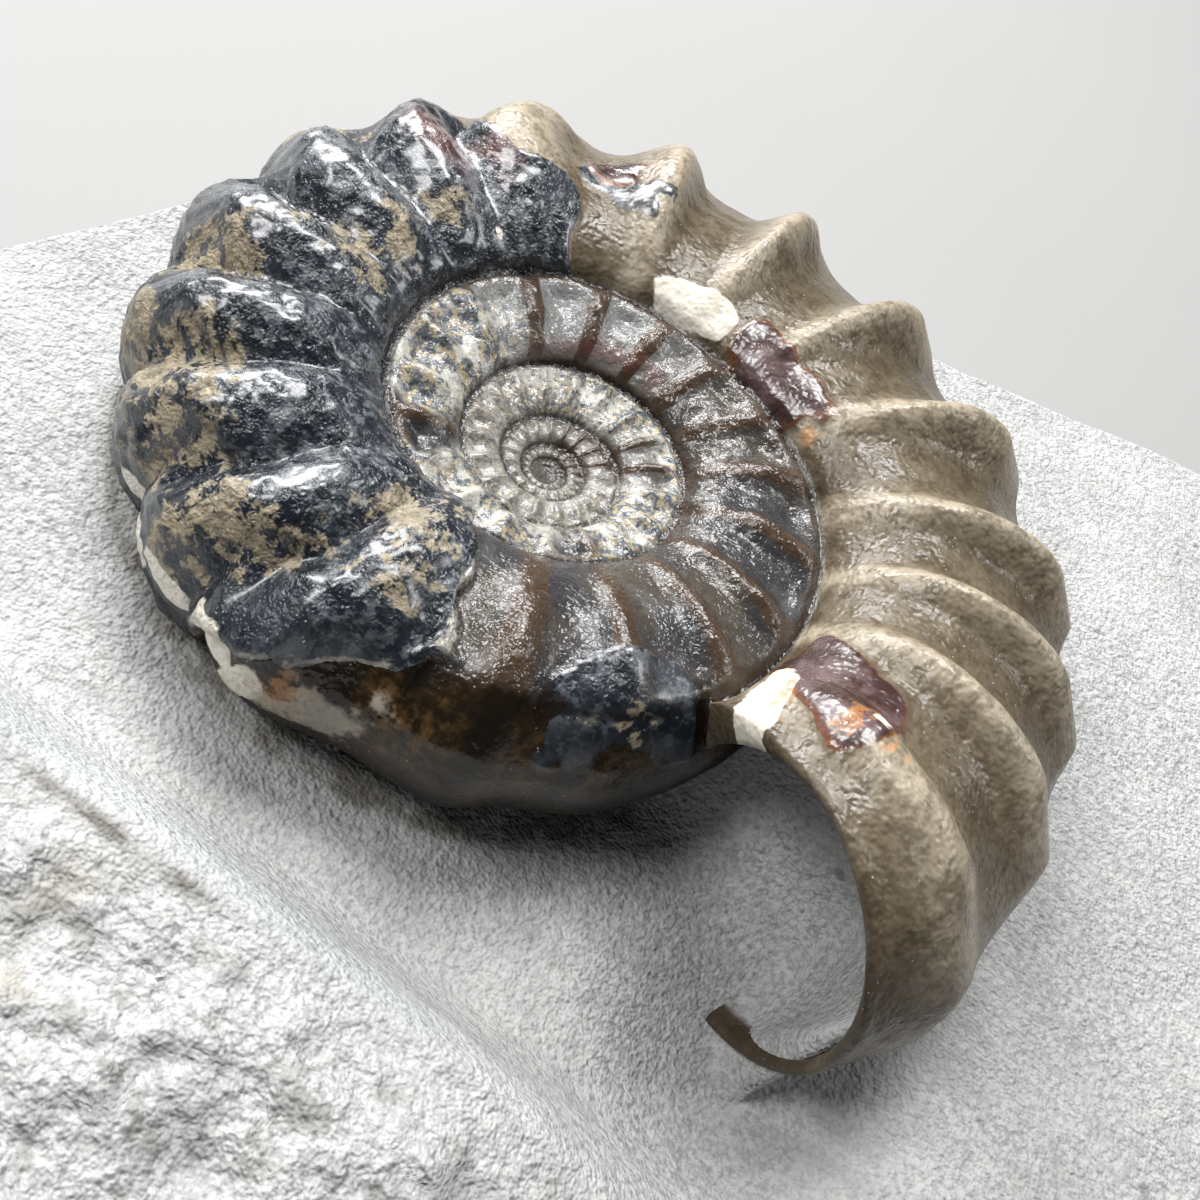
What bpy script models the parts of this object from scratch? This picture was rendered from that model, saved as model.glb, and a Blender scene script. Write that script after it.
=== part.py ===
"""A ribbed fossil ammonite, prepared in relief on the block of limestone that it was found in.

Metres, +Z up. The origin is the middle of the block's flat base. Turn angles are in degrees. They start at the rim of
the aperture and grow as the shell gets older, anticlockwise seen from above. Section angles are in degrees too:
0 points outward, 90 points up, and 180 points at the coil's axis.
"""

import math

import bmesh
import bpy

# Coil
COIL_CENTRE = (-0.01136, 0.0017)  # the coil's axis, from the middle of the base
MID_PLANE = 0.026  # height of the coil's mid-plane over the base
RIM_ANGLE = -35.6  # direction of the aperture's rim, seen from above
WHORL_EXPANSION = 1.888  # growth of every size in one turn
TURNS_END = 1620.0  # where the innermost visible whorl ends
CENTRE_LINE_RADIUS = 0.0249  # from the axis to the middle of the tube, at the rim
TUBE_HALF_WIDTH = 0.01025
TUBE_HALF_HEIGHT = 0.01086
SEAM_RADIUS = 0.0151  # from the axis to the seam, at the rim, before SEAM_SWELL
LOWEST_SECTION_ANGLE = -60.0  # where the hidden underside starts
UNDERSIDE_DROP = 0.0045  # depth of the underside's middle below the mid-plane

# Aperture
WALL_THICKNESS = 0.0020
RIM_PULL_IN = 0.0013  # how far the last slope falls from the last rib to the rim
HOLLOW_END = 21.2  # turn angle at the back of the hollow

# Ribs: where each one crosses the outer whorl, then an even spacing further in
RIB_ANGLES = (9.0, 25.6, 39.9, 55.0, 76.0, 97.0, 117.8, 138.7, 159.6, 177.4, 196.5, 217.0, 238.0, 255.0, 272.0, 291.0, 324.0, 345.0)
INNER_RIB_SPACING = 20.0
RIB_TIP_ANGLE = 27.0  # section angle of the blunt tip on each rib
RIB_TIP_SPREAD = 17.0
RIB_LEAN_SPREAD = 50.0  # section angle from the tip to where a leaning rib is straight again

# Values at turn angles: (angle, value) pairs, joined by smooth curves
SEAM_SWELL = ((-60, 0.08), (42, 0.097), (102, -0.105), (162, -0.02), (222, 0.0), (282, -0.05), (342, -0.07), (402, -0.03), (482, 0.04), (572, 0.0), (662, 0.04), (780, 0.0))
FULLNESS = ((0, 1.0), (45, 0.985), (95, 0.95), (150, 0.96), (190, 1.0), (240, 1.0), (310, 1.05), (380, 1.04))
RIB_DEPTH = ((0, 0.0013), (40, 0.0016), (66, 0.0028), (90, 0.0035), (130, 0.0035), (170, 0.0027), (230, 0.0021), (290, 0.0018), (345, 0.0012), (400, 0.0016))
RIB_LEAN = ((139, 0.0), (160, 6.0), (177, 9.0), (205, 8.0), (238, 4.0), (255, 4.0), (272, 7.0), (295, 7.0), (324, 0.0))
RIB_TIP = ((0, 0.0002), (50, 0.0004), (75, 0.0006), (160, 0.0005), (190, 0.0002), (400, 0.0))
RIB_SHARPNESS = ((0, 1.0), (60, 1.4), (90, 2.0), (150, 1.9), (190, 1.0), (290, 0.9), (330, 1.6), (420, 1.1))

# Block of limestone: corners of its outline seen from above, from the coil's axis
BLOCK_OUTLINE = (
    (-0.0283, 0.0043), (-0.0250, 0.0135), (-0.0200, 0.0230), (-0.0120, 0.0270), (0.0020, 0.0318), (0.0165, 0.0365),
    (0.0270, 0.0400), (0.0393, 0.0443), (0.0480, 0.0450), (0.0545, 0.0370), (0.0575, 0.0240), (0.0600, 0.0080),
    (0.0580, -0.0080), (0.0530, -0.0200), (0.0410, -0.0310), (0.0260, -0.0395), (0.0100, -0.0455), (-0.0050, -0.0480),
    (-0.0190, -0.0455), (-0.0310, -0.0375), (-0.0375, -0.0260), (-0.0365, -0.0150), (-0.0320, -0.0054),
)
DISH_LEVEL = -0.0045  # prepared surface round the fossil, from the mid-plane
DISH_AT_APERTURE = -0.0062
BANK_CREST = -0.0296  # where the unprepared bank in front starts, from the axis
BANK_FOOT = 0.0055  # width of the slope up to it
BANK_RISE = 0.0058
BANK_FADE = (0.012, 0.034)  # where the bank runs out to the right
FILL_RISE = 0.0170  # height of the stone at the back of the aperture's hollow, over the dish
EDGE_ROUNDING = 0.0022
BREAK_DEPTH = 0.0011  # unevenness of the broken sides
POCKET_GAP = 0.00035

# Fineness of the faceted solids
ROWS_PER_RIB = (0.0, 0.12, 0.31, 0.5, 0.69, 0.88)
FLANK_STEPS = 7
OUTER_ANGLES = (15.0, 0.0, -14.0, -28.0, -44.0, LOWEST_SECTION_ANGLE)
INNER_FLANK_STEPS = 5
WALL_STEPS = 8
BLOCK_DIRECTIONS = tuple(range(0, 315, 7)) + tuple(315 + 3 * step for step in range(15))
INNER_RINGS = (0.006, 0.012, 0.0155, 0.0185, 0.0215, 0.0245, 0.0265)
OUTER_RINGS = 7

SHELL_BROWN = (0.16, 0.13, 0.10, 1.0)
LIMESTONE_GREY = (0.56, 0.56, 0.54, 1.0)


def clamp(value, low=0.0, high=1.0):
    return max(low, min(high, value))


def smooth(value):
    value = clamp(value)
    return value * value * (3.0 - 2.0 * value)


def at(pairs, angle):
    """The value at an angle, on a smooth curve through (angle, value) pairs."""
    if angle <= pairs[0][0]:
        return pairs[0][1]
    for index, ((start, before), (end, after)) in enumerate(zip(pairs, pairs[1:])):
        if angle < end:
            t = (angle - start) / (end - start)
            lead = pairs[index - 1] if index else pairs[index]
            tail = pairs[index + 2] if index + 2 < len(pairs) else pairs[index + 1]
            slope_in = (after - lead[1]) / (end - lead[0]) * (end - start)
            slope_out = (tail[1] - before) / (tail[0] - start) * (end - start)
            return (
                before * (2 * t**3 - 3 * t**2 + 1)
                + slope_in * (t**3 - 2 * t**2 + t)
                + after * (3 * t**2 - 2 * t**3)
                + slope_out * (t**3 - t**2)
            )
    return pairs[-1][1]


def growth(turn):
    return WHORL_EXPANSION ** (-turn / 360.0)


def seam_radius(turn):
    """From the axis to the seam where a whorl meets the one inside it."""
    return SEAM_RADIUS * growth(turn) * math.exp(at(SEAM_SWELL, turn))


def smooth_height(turn, radius):
    """Height of a whorl's surface without ribs, over the mid-plane, on its outer half."""
    size = growth(turn)
    across = clamp((radius - CENTRE_LINE_RADIUS * size) / (TUBE_HALF_WIDTH * at(FULLNESS, turn) * size), -0.99, 0.99)
    return TUBE_HALF_HEIGHT * at(FULLNESS, turn) * size * math.sqrt(1.0 - across * across)


def outer_seam_angle(turn):
    """Section angle at which the next whorl's seam lies on this whorl."""
    size = growth(turn)
    across = (seam_radius(turn - 360.0) - CENTRE_LINE_RADIUS * size) / (TUBE_HALF_WIDTH * at(FULLNESS, turn) * size)
    return math.degrees(math.acos(clamp(across, -0.3, 0.9)))


def seam_angle(turn):
    """Section angle of a whorl's own seam."""
    height = smooth_height(turn + 360.0, seam_radius(turn))
    full = TUBE_HALF_HEIGHT * at(FULLNESS, turn) * growth(turn)
    return 180.0 - math.degrees(math.asin(clamp(height / full, 0.0, 0.95)))


def inner_half_width(turn):
    """Half-width of the tube towards the axis, so that the section runs through its seam."""
    reach = CENTRE_LINE_RADIUS * growth(turn) - seam_radius(turn)
    return reach / -math.cos(math.radians(seam_angle(turn)))


def rib_wave(turn):
    """1 on a rib's crest and 0 between two ribs."""
    if turn < RIB_ANGLES[0]:
        return 1.0 - smooth((RIB_ANGLES[0] - turn) / RIB_ANGLES[0])
    last = RIB_ANGLES[-1]
    if turn >= last:
        place = ((turn - last) / INNER_RIB_SPACING) % 1.0
    else:
        start, end = next((a, b) for a, b in zip(RIB_ANGLES, RIB_ANGLES[1:]) if turn < b)
        place = (turn - start) / (end - start)
    return (0.5 + 0.5 * math.cos(2.0 * math.pi * place)) ** at(RIB_SHARPNESS, turn)


def crest_shift(turn, section):
    """How far a leaning rib's crest has moved to older shell, in degrees, at a section angle."""
    return at(RIB_LEAN, turn) * smooth((section - RIB_TIP_ANGLE) / RIB_LEAN_SPREAD)


def relief_share(turn, section):
    """How much of the rib's depth shows at a section angle: none at the seam, all of it at the shoulder."""
    start = seam_angle(turn)
    if section > RIB_TIP_ANGLE:
        share = smooth((start - section) / (start - RIB_TIP_ANGLE - 20.0))
    else:
        share = 1.0 - 0.4 * smooth((RIB_TIP_ANGLE - section) / 70.0)
    hidden = smooth((turn - 325.0) / 35.0)
    near_next = smooth((section - outer_seam_angle(turn)) / 22.0)
    return share * (1.0 - hidden * (1.0 - near_next))


def surface_offset(turn, section):
    """How far the ribs stand out of the smooth tube, at a size of 1."""
    wave = rib_wave(turn - crest_shift(turn, section))
    depth = at(RIB_DEPTH, turn) * relief_share(turn, section)
    if turn < RIB_ANGLES[0]:
        depth = max(depth, RIM_PULL_IN * smooth((seam_angle(turn) - section) / 40.0))
    tip = at(RIB_TIP, turn) * math.exp(-(((section - RIB_TIP_ANGLE) / RIB_TIP_SPREAD) ** 2))
    return tip * wave**2 - depth * (1.0 - wave)


def section_point(turn, section, grow=0.0, inset=0.0):
    """(radius, height) of the shell's surface, grown outward or set in by a wall."""
    size = growth(turn)
    angle = math.radians(section)
    width = TUBE_HALF_WIDTH * at(FULLNESS, turn) * size if section <= 90.0 else inner_half_width(turn)
    height = TUBE_HALF_HEIGHT * at(FULLNESS, turn) * size
    normal = (math.cos(angle) / width, math.sin(angle) / height)
    length = math.hypot(*normal)
    out = grow - inset if inset else grow + size * surface_offset(turn, section)
    radius = CENTRE_LINE_RADIUS * size + width * math.cos(angle) + out * normal[0] / length
    return radius, height * math.sin(angle) + out * normal[1] / length


def placed(turn, point):
    """A (radius, height) pair of one turn angle as a place in the object's frame."""
    angle = math.radians(RIM_ANGLE + turn)
    radius, height = point
    return (
        COIL_CENTRE[0] + radius * math.cos(angle),
        COIL_CENTRE[1] + radius * math.sin(angle),
        MID_PLANE + height,
    )


def row_angles():
    """Turn angles of the rows in one turn: an even number, with one on each rib and each trough."""
    rows = [0.0, 2.0, 4.2, 6.6]
    for start, end in zip(RIB_ANGLES, RIB_ANGLES[1:] + (360.0,)):
        rows += [start + (end - start) * part for part in ROWS_PER_RIB]
    return rows


def hollow_corner(turn, inset, grow):
    """Section angle on the hollow's wall where it meets the whorl inside it, and that place on the whorl."""
    low, high = 60.0, 180.0
    inside_scale = growth(turn + 360.0)
    width = TUBE_HALF_WIDTH * at(FULLNESS, turn + 360.0) * inside_scale + grow
    height = TUBE_HALF_HEIGHT * at(FULLNESS, turn + 360.0) * inside_scale + grow
    for _ in range(30):
        middle = 0.5 * (low + high)
        radius, up = section_point(turn, middle, 0.0, inset)
        inside = ((radius - CENTRE_LINE_RADIUS * inside_scale) / width) ** 2 + (up / height) ** 2 < 1.0
        low, high = (low, middle) if inside else (middle, high)
    radius, up = section_point(turn, low, 0.0, inset)
    return low, math.degrees(math.atan2(up / height, (radius - CENTRE_LINE_RADIUS * inside_scale) / width))


def stitch(mesh, first, second):
    """Triangles between two chains of vertices that run side by side, always across the shorter diagonal."""
    i = j = 0
    while i < len(first) - 1 or j < len(second) - 1:
        if j == len(second) - 1:
            step_first = True
        elif i == len(first) - 1:
            step_first = False
        else:
            along_first = (first[i + 1].co - second[j].co).length
            along_second = (second[j + 1].co - first[i].co).length
            step_first = along_first <= along_second
        corners = [first[i], second[j], first[i + 1] if step_first else second[j + 1]]
        if len(set(corners)) == 3:
            mesh.faces.new(corners)
        if step_first:
            i += 1
        else:
            j += 1


def spread(start, end, steps):
    return [start + (end - start) * step / steps for step in range(steps + 1)]


def build_shell(name, grow):
    """The whole ammonite as one closed surface. A grown one is the cutter that makes its pocket."""
    mesh = bmesh.new()
    shift = math.degrees(grow / CENTRE_LINE_RADIUS)
    angles = row_angles()
    count = len(angles)
    hollow = [i for i, angle in enumerate(angles) if angle <= HOLLOW_END]
    inset = WALL_THICKNESS + grow

    def turn_of(index):
        turn = angles[index % count] + 360.0 * (index // count)
        return turn - shift if index in (0, count) else turn

    def vertex(turn, point):
        return mesh.verts.new(placed(turn, point))

    def seam_vertex(turn):
        radius = seam_radius(turn)
        return vertex(turn, (radius, smooth_height(turn + 360.0, radius) + grow))

    def flank(index, steps):
        """Vertices from a row's own seam to the next whorl's seam."""
        turn = turn_of(index)
        sections = spread(seam_angle(turn), outer_seam_angle(turn), steps)[1:-1]
        chain = [seams[index]] + [vertex(turn, section_point(turn, s, grow)) for s in sections]
        if index >= count:
            return chain + [seams[index - count]]
        return chain + [vertex(turn, section_point(turn, outer_seam_angle(turn), grow))]

    def outside(index, sections):
        turn = turn_of(index)
        return [vertex(turn, section_point(turn, s, grow)) for s in sections]

    last = int(TURNS_END / 360.0 * count)
    last -= last % 2
    full_rows = range(0, 2 * count)
    half_rows = range(2 * count, last + 1, 2)
    seams = {i: seam_vertex(turn_of(i)) for i in list(full_rows) + [i for i in half_rows]}

    corner_wall, corner_whorl = hollow_corner(turn_of(0), inset, grow)
    flanks = {i: flank(i, FLANK_STEPS) for i in full_rows}
    flanks.update({i: flank(i, INNER_FLANK_STEPS) for i in half_rows if i >= 2 * count})
    outers = {i: [flanks[i][-1]] + outside(i, (corner_whorl,) + OUTER_ANGLES) for i in range(count + 1)}

    for index in range(2 * count - 1):
        stitch(mesh, flanks[index], flanks[index + 1])
    stitch(mesh, flanks[2 * count - 1], flanks[2 * count])
    for index in half_rows[:-1]:
        first, second = flanks[index], flanks[index + 2]
        middle = seams[index + 1 - count] if index + 1 - count in seams else None
        stitch(mesh, first[:-1], second[:-1])
        inner_a, inner_b, outer_a, outer_b = first[-2], second[-2], first[-1], second[-1]
        if middle is None:
            stitch(mesh, [inner_a, outer_a], [inner_b, outer_b])
        else:
            mesh.faces.new((inner_a, middle, outer_a))
            mesh.faces.new((inner_a, inner_b, middle))
            mesh.faces.new((inner_b, outer_b, middle))
    for index in range(count):
        stitch(mesh, outers[index], outers[index + 1])

    # The eye of the coil
    eye = mesh.verts.new(placed(0.0, (0.0, TUBE_HALF_HEIGHT * growth(TURNS_END) * 0.9)))
    spiral = [seams[i] for i in half_rows if i >= last - count] + flanks[last][1:-1]
    tail = [seams[last - count]] if seams[last - count] is not spiral[0] else []
    ring = spiral + tail
    for a, b in zip(ring, ring[1:] + ring[:1]):
        mesh.faces.new((a, b, eye))

    # The hollow of the aperture
    walls, venters = [], []
    for index in hollow:
        turn = turn_of(index)
        if index == hollow[-1]:
            turn -= shift
        wall_angle, whorl_angle = hollow_corner(turn, inset, grow)
        sections = spread(wall_angle, LOWEST_SECTION_ANGLE, WALL_STEPS)
        if index == 0:
            corner = outers[count][1]
        else:
            corner = vertex(turn, section_point(turn, wall_angle, 0.0, inset))
        walls.append([corner] + [vertex(turn, section_point(turn, s, 0.0, inset)) for s in sections[1:]])
        if index == 0:
            venters.append(outers[count][1:])
        else:
            whorl = [vertex(turn + 360.0, section_point(turn + 360.0, s, grow)) for s in OUTER_ANGLES]
            venters.append([corner] + whorl)
    rim = flanks[0] + outers[0][1:]
    stitch(mesh, rim, [seams[0]] + walls[0])
    for (wall_a, wall_b), (whorl_a, whorl_b) in zip(zip(walls, walls[1:]), zip(venters, venters[1:])):
        stitch(mesh, wall_a, wall_b)
        stitch(mesh, whorl_a, whorl_b)
    stitch(mesh, walls[-1], venters[-1])

    # The hidden underside
    middle = mesh.verts.new(placed(0.0, (0.0, -UNDERSIDE_DROP - grow)))
    ends = [outers[i][-1] for i in range(count + 1)]
    inner_ends = [whorl[-1] for whorl in venters]
    wall_ends = [wall[-1] for wall in walls]
    back = hollow[-1]
    for a, b in zip(ends[back:], ends[back + 1:]):
        mesh.faces.new((a, b, middle))
    for a, b in zip(inner_ends, inner_ends[1:]):
        mesh.faces.new((a, b, middle))
    stitch(mesh, ends[: back + 1], wall_ends)
    mesh.faces.new((middle, ends[back], wall_ends[-1]))
    mesh.faces.new((middle, wall_ends[-1], inner_ends[-1]))

    bmesh.ops.recalc_face_normals(mesh, faces=mesh.faces)
    return mesh_object(name, mesh)


def mesh_object(name, mesh):
    data = bpy.data.meshes.new(name)
    mesh.to_mesh(data)
    mesh.free()
    piece = bpy.data.objects.new(name, data)
    bpy.context.scene.collection.objects.link(piece)
    return piece


def outline_radius(angle):
    """From the coil's axis to the block's side, in one direction: a smooth curve through the outline's corners."""
    corners = sorted((math.degrees(math.atan2(y, x)) % 360.0, math.hypot(x, y)) for x, y in BLOCK_OUTLINE)
    closed = [(a - 360.0, r) for a, r in corners[-2:]] + corners + [(a + 360.0, r) for a, r in corners[:3]]
    return at(closed, angle % 360.0)


def lumps(x, y):
    """Soft unevenness of the unprepared stone, from -1 to 1."""
    broad = math.sin(310.0 * x + 1.7) * math.cos(270.0 * y + 0.4)
    slanted = math.sin(430.0 * x - 520.0 * y + 0.6) * math.cos(210.0 * x + 350.0 * y)
    return 0.5 * broad + 0.5 * slanted


def hollow_fill(x, y, floor):
    """Height of the stone inside the aperture's hollow: a bowl that rises from the rim to just inside the wall."""
    turn = (math.degrees(math.atan2(y, x)) - RIM_ANGLE + 180.0) % 360.0 - 180.0
    if not 0.0 <= turn <= HOLLOW_END + 6.0:
        return floor
    size = growth(min(turn, HOLLOW_END))
    off_centre = math.hypot(x, y) - CENTRE_LINE_RADIUS * size
    middle = 0.8 * WALL_THICKNESS
    wall_share = off_centre / ((TUBE_HALF_WIDTH - middle) * size)
    if abs(wall_share) >= 1.0:
        return floor
    roof = (TUBE_HALF_HEIGHT - middle) * size * math.sqrt(1.0 - wall_share**2)
    across = abs(off_centre) / ((TUBE_HALF_WIDTH - WALL_THICKNESS) * size)
    by_wall = clamp((across - 0.8) / 0.25) * smooth(turn / 5.0)
    bowl = ((turn / HOLLOW_END) ** 2 + by_wall**2) ** 1.5
    return max(floor, min(roof, floor + FILL_RISE * bowl))


def stone_top(x, y):
    """Height of the block's upper surface over the mid-plane, at a place seen from the coil's axis."""
    off_rim = (math.degrees(math.atan2(y, x)) - RIM_ANGLE + 180.0) % 360.0 - 180.0
    at_aperture = math.exp(-((off_rim / 55.0) ** 2)) * smooth(math.hypot(x, y) / 0.02)
    level = DISH_LEVEL + (DISH_AT_APERTURE - DISH_LEVEL) * at_aperture
    fade = 1.0 - smooth((x - BANK_FADE[0]) / (BANK_FADE[1] - BANK_FADE[0]))
    slope = smooth((BANK_CREST + BANK_FOOT - y) / BANK_FOOT)
    beyond = smooth((BANK_CREST - y) / 0.004)
    rough = 0.0009 * lumps(x, y) * beyond * (0.35 + 0.65 * fade) + 0.00012 * lumps(x, y)
    return hollow_fill(x, y, level + BANK_RISE * slope * fade + rough)


def block_ring(share, inner=None):
    """Places of one ring round the coil's axis: at a radius, or at a share of the way from there to the outline."""
    ring = []
    for direction in BLOCK_DIRECTIONS:
        radius = inner if inner else INNER_RINGS[-1] + (outline_radius(direction) - INNER_RINGS[-1]) * share
        angle = math.radians(direction)
        ring.append((radius * math.cos(angle), radius * math.sin(angle)))
    return ring


def broken_side(x, y, height):
    """Moves a place on the block's side in or out, as a broken surface does."""
    angle = math.atan2(y, x)
    wave = math.sin(5.0 * angle + 260.0 * height) + 0.7 * math.sin(11.0 * angle - 150.0 * height + 1.0)
    out = 1.0 + BREAK_DEPTH * wave / math.hypot(x, y)
    return x * out, y * out


def build_block(name):
    """The block, before its pocket is cut: rings from the middle of its top, over its edge, down to its base."""
    mesh = bmesh.new()
    layers = []

    def add(ring, heights):
        places = zip(ring, heights)
        layers.append([mesh.verts.new((COIL_CENTRE[0] + x, COIL_CENTRE[1] + y, z)) for (x, y), z in places])

    for radius in INNER_RINGS:
        ring = block_ring(0.0, radius)
        add(ring, [MID_PLANE + stone_top(x, y) for x, y in ring])
    for step in range(1, OUTER_RINGS + 1):
        ring = block_ring(step / OUTER_RINGS * 0.97)
        add(ring, [MID_PLANE + stone_top(x, y) for x, y in ring])
    rim = block_ring(1.0)
    tops = [MID_PLANE + stone_top(x, y) - EDGE_ROUNDING for x, y in rim]
    for share in (1.0, 0.66, 0.33, 0.05):
        heights = [top * share for top in tops]
        add([broken_side(x, y, z) for (x, y), z in zip(rim, heights)], heights)
    add([(0.975 * x, 0.975 * y) for x, y in rim], [0.0] * len(rim))

    top = mesh.verts.new((*COIL_CENTRE, MID_PLANE + stone_top(0.0, 0.0)))
    base = mesh.verts.new((*COIL_CENTRE, 0.0))
    count = len(BLOCK_DIRECTIONS)
    for side in range(count):
        after = (side + 1) % count
        mesh.faces.new((top, layers[0][side], layers[0][after]))
        mesh.faces.new((base, layers[-1][after], layers[-1][side]))
        for upper, lower in zip(layers, layers[1:]):
            a, b, c, d = upper[side], lower[side], lower[after], upper[after]
            level_ac = abs(a.co.z - c.co.z) <= abs(b.co.z - d.co.z)
            for corners in ((a, b, c), (a, c, d)) if level_ac else ((a, b, d), (b, c, d)):
                mesh.faces.new(corners)
    bmesh.ops.recalc_face_normals(mesh, faces=mesh.faces)
    return mesh_object(name, mesh)


def give_material(piece, colour, roughness):
    material = bpy.data.materials.new(piece.name)
    material.use_nodes = True
    shader = material.node_tree.nodes["Principled BSDF"]
    shader.inputs["Base Color"].default_value = colour
    shader.inputs["Roughness"].default_value = roughness
    shader.inputs["Metallic"].default_value = 0.0
    piece.data.materials.append(material)


def cut_pocket(block):
    """Takes the fossil's bed out of the block, a little wider than the fossil."""
    cutter = build_shell("pocket_cutter", POCKET_GAP)
    cutter.hide_render = True
    cutter.display_type = "WIRE"
    cut = block.modifiers.new("pocket", "BOOLEAN")
    cut.operation = "DIFFERENCE"
    cut.solver = "EXACT"
    cut.object = cutter


def main():
    for old in list(bpy.data.objects):
        bpy.data.objects.remove(old, do_unlink=True)
    ammonite = build_shell("ammonite", 0.0)
    give_material(ammonite, SHELL_BROWN, 0.25)
    block = build_block("limestone_matrix")
    give_material(block, LIMESTONE_GREY, 0.9)
    cut_pocket(block)
    for piece in (ammonite, block):
        piece.data.shade_smooth()
        piece.data.set_sharp_from_angle(angle=math.radians(45.0))


main()
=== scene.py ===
"""Builds the finished look of a ribbed fossil ammonite on its block of limestone, with a plain stage.

The shell is a sheet of turn angles and section angles. A node tree winds it round the coil's axis, then
mesh code carves the edges of its layers, the seams and the patches. Turn angles are in degrees. They start
at the rim of the aperture and grow as the shell gets older. Section angles are in degrees too: 0 points
outward, 90 points up. All sizes are in metres unless their comment says mm.
"""

import math

import bmesh
import bpy
import numpy as np
from bpy.props import FloatProperty, FloatVectorProperty, PointerProperty
from mathutils import Matrix, Vector, noise


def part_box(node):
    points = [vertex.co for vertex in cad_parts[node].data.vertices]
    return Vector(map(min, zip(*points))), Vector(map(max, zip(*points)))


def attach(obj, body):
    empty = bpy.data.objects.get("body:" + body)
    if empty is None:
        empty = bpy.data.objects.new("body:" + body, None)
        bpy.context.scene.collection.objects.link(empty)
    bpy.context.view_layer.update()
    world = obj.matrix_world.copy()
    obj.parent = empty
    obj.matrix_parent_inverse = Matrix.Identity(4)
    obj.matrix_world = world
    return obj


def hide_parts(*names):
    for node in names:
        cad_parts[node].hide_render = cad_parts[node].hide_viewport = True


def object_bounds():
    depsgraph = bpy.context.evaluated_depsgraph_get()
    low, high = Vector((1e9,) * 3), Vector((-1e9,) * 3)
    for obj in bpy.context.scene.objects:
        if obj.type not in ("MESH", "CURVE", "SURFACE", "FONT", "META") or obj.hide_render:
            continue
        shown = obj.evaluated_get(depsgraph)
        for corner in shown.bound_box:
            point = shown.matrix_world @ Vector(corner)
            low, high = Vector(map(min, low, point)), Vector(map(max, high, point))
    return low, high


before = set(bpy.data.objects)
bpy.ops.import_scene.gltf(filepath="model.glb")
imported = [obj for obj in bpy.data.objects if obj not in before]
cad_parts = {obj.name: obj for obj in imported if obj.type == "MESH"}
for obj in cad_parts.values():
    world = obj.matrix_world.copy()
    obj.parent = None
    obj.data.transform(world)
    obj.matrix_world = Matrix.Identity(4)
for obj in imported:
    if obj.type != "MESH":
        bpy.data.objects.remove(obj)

bl_info = {
    "name": "Fossil ammonite",
    "version": (1, 0, 0),
    "blender": (4, 5, 0),
    "location": "View3D > Sidebar > Ammonite",
    "description": "Builds a ribbed fossil ammonite on a block of limestone",
    "category": "Add Mesh",
}

CAD_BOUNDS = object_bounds()
BOX_MARGIN = 0.00004

# The coil's place, as in the solids
COIL_CENTRE = (-0.01136, 0.0017)
MID_PLANE = 0.026
RIM_ANGLE = -35.6
TURNS_END = 1980.0
LOWEST_SECTION = -60.0
UNDERSIDE_DROP = 0.0045
SEAM_RADIUS = 0.0151
HOLLOW_END = 21.0
RIM_PULL_IN = 0.0013
RIM_BULGE = 0.55
EYE_RISE = 1.15

# Ribs of the outer whorl, then those of the whorl inside it
RIB_ANGLES = (
    9.0, 25.6, 39.9, 55.0, 76.0, 97.0, 117.8, 138.7, 159.6, 177.4, 196.5, 217.0, 238.0, 255.0, 272.0,
    291.0, 324.0, 345.0, 365.5, 382.0, 402.5, 423.0, 443.0, 463.0, 483.0, 505.0, 529.0, 553.0, 572.0,
)
INNER_RIB_SPACING = 19.5
RIB_TIP_ANGLE = 27.0
RIB_TIP_SPREAD = 17.0
RIB_LEAN_SPREAD = 50.0
RIB_RISE = 70.0

# (turn angle, value) pairs, joined by smooth curves
SEAM_SWELL = (
    (-60, 0.08), (42, 0.097), (102, -0.105), (162, -0.02), (222, 0.0), (282, -0.05), (342, -0.07),
    (402, -0.03), (482, 0.04), (572, 0.0), (662, 0.04), (780, 0.0),
)
FULLNESS = (
    (0, 1.0), (45, 0.985), (95, 0.95), (150, 0.96), (190, 1.0), (240, 1.0), (310, 1.05), (380, 1.04),
)
RIB_DEPTH = (
    (0, 0.0013), (40, 0.0017), (66, 0.0025), (90, 0.0030), (130, 0.0031), (170, 0.0029), (210, 0.0033),
    (290, 0.0029), (345, 0.0012), (400, 0.0018), (480, 0.0024), (700, 0.0026),
)
RIB_LEAN = (
    (139, 0.0), (160, 6.0), (177, 9.0), (205, 8.0), (238, 4.0), (255, 4.0), (272, 7.0), (295, 7.0),
    (324, 0.0),
)
RIB_TIP = ((0, 0.0002), (50, 0.0004), (75, 0.0006), (160, 0.0005), (190, 0.0002), (400, 0.0))
FLANK_SHARPENING = ((0, 0.9), (135, 0.9), (158, 0.1), (320, 0.1), (360, 0.7), (450, 0.6))
OUTER_FADE = ((0, 0.75), (150, 0.75), (195, 0.5), (400, 0.4))
RIB_SHARPNESS = (
    (0, 1.0), (30, 1.4), (66, 1.5), (90, 1.5), (140, 1.3), (156, 0.6), (196, 0.5), (290, 0.55),
    (330, 1.6), (420, 1.2),
)

# The thick dark shell: the turn angles where it starts and ends, at section angles
DARK_START = (
    (-60, 175), (27, 175), (60, 174), (81, 172.5), (99, 170), (104, 163), (108, 158), (121, 156),
    (133, 158), (150, 155),
)
DARK_END = (
    (-60, 280), (0, 284), (12, 288), (25, 296), (38, 305), (45, 310), (60, 314), (67, 314.5), (92, 313),
    (112, 308), (125, 303), (150, 296),
)

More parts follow.
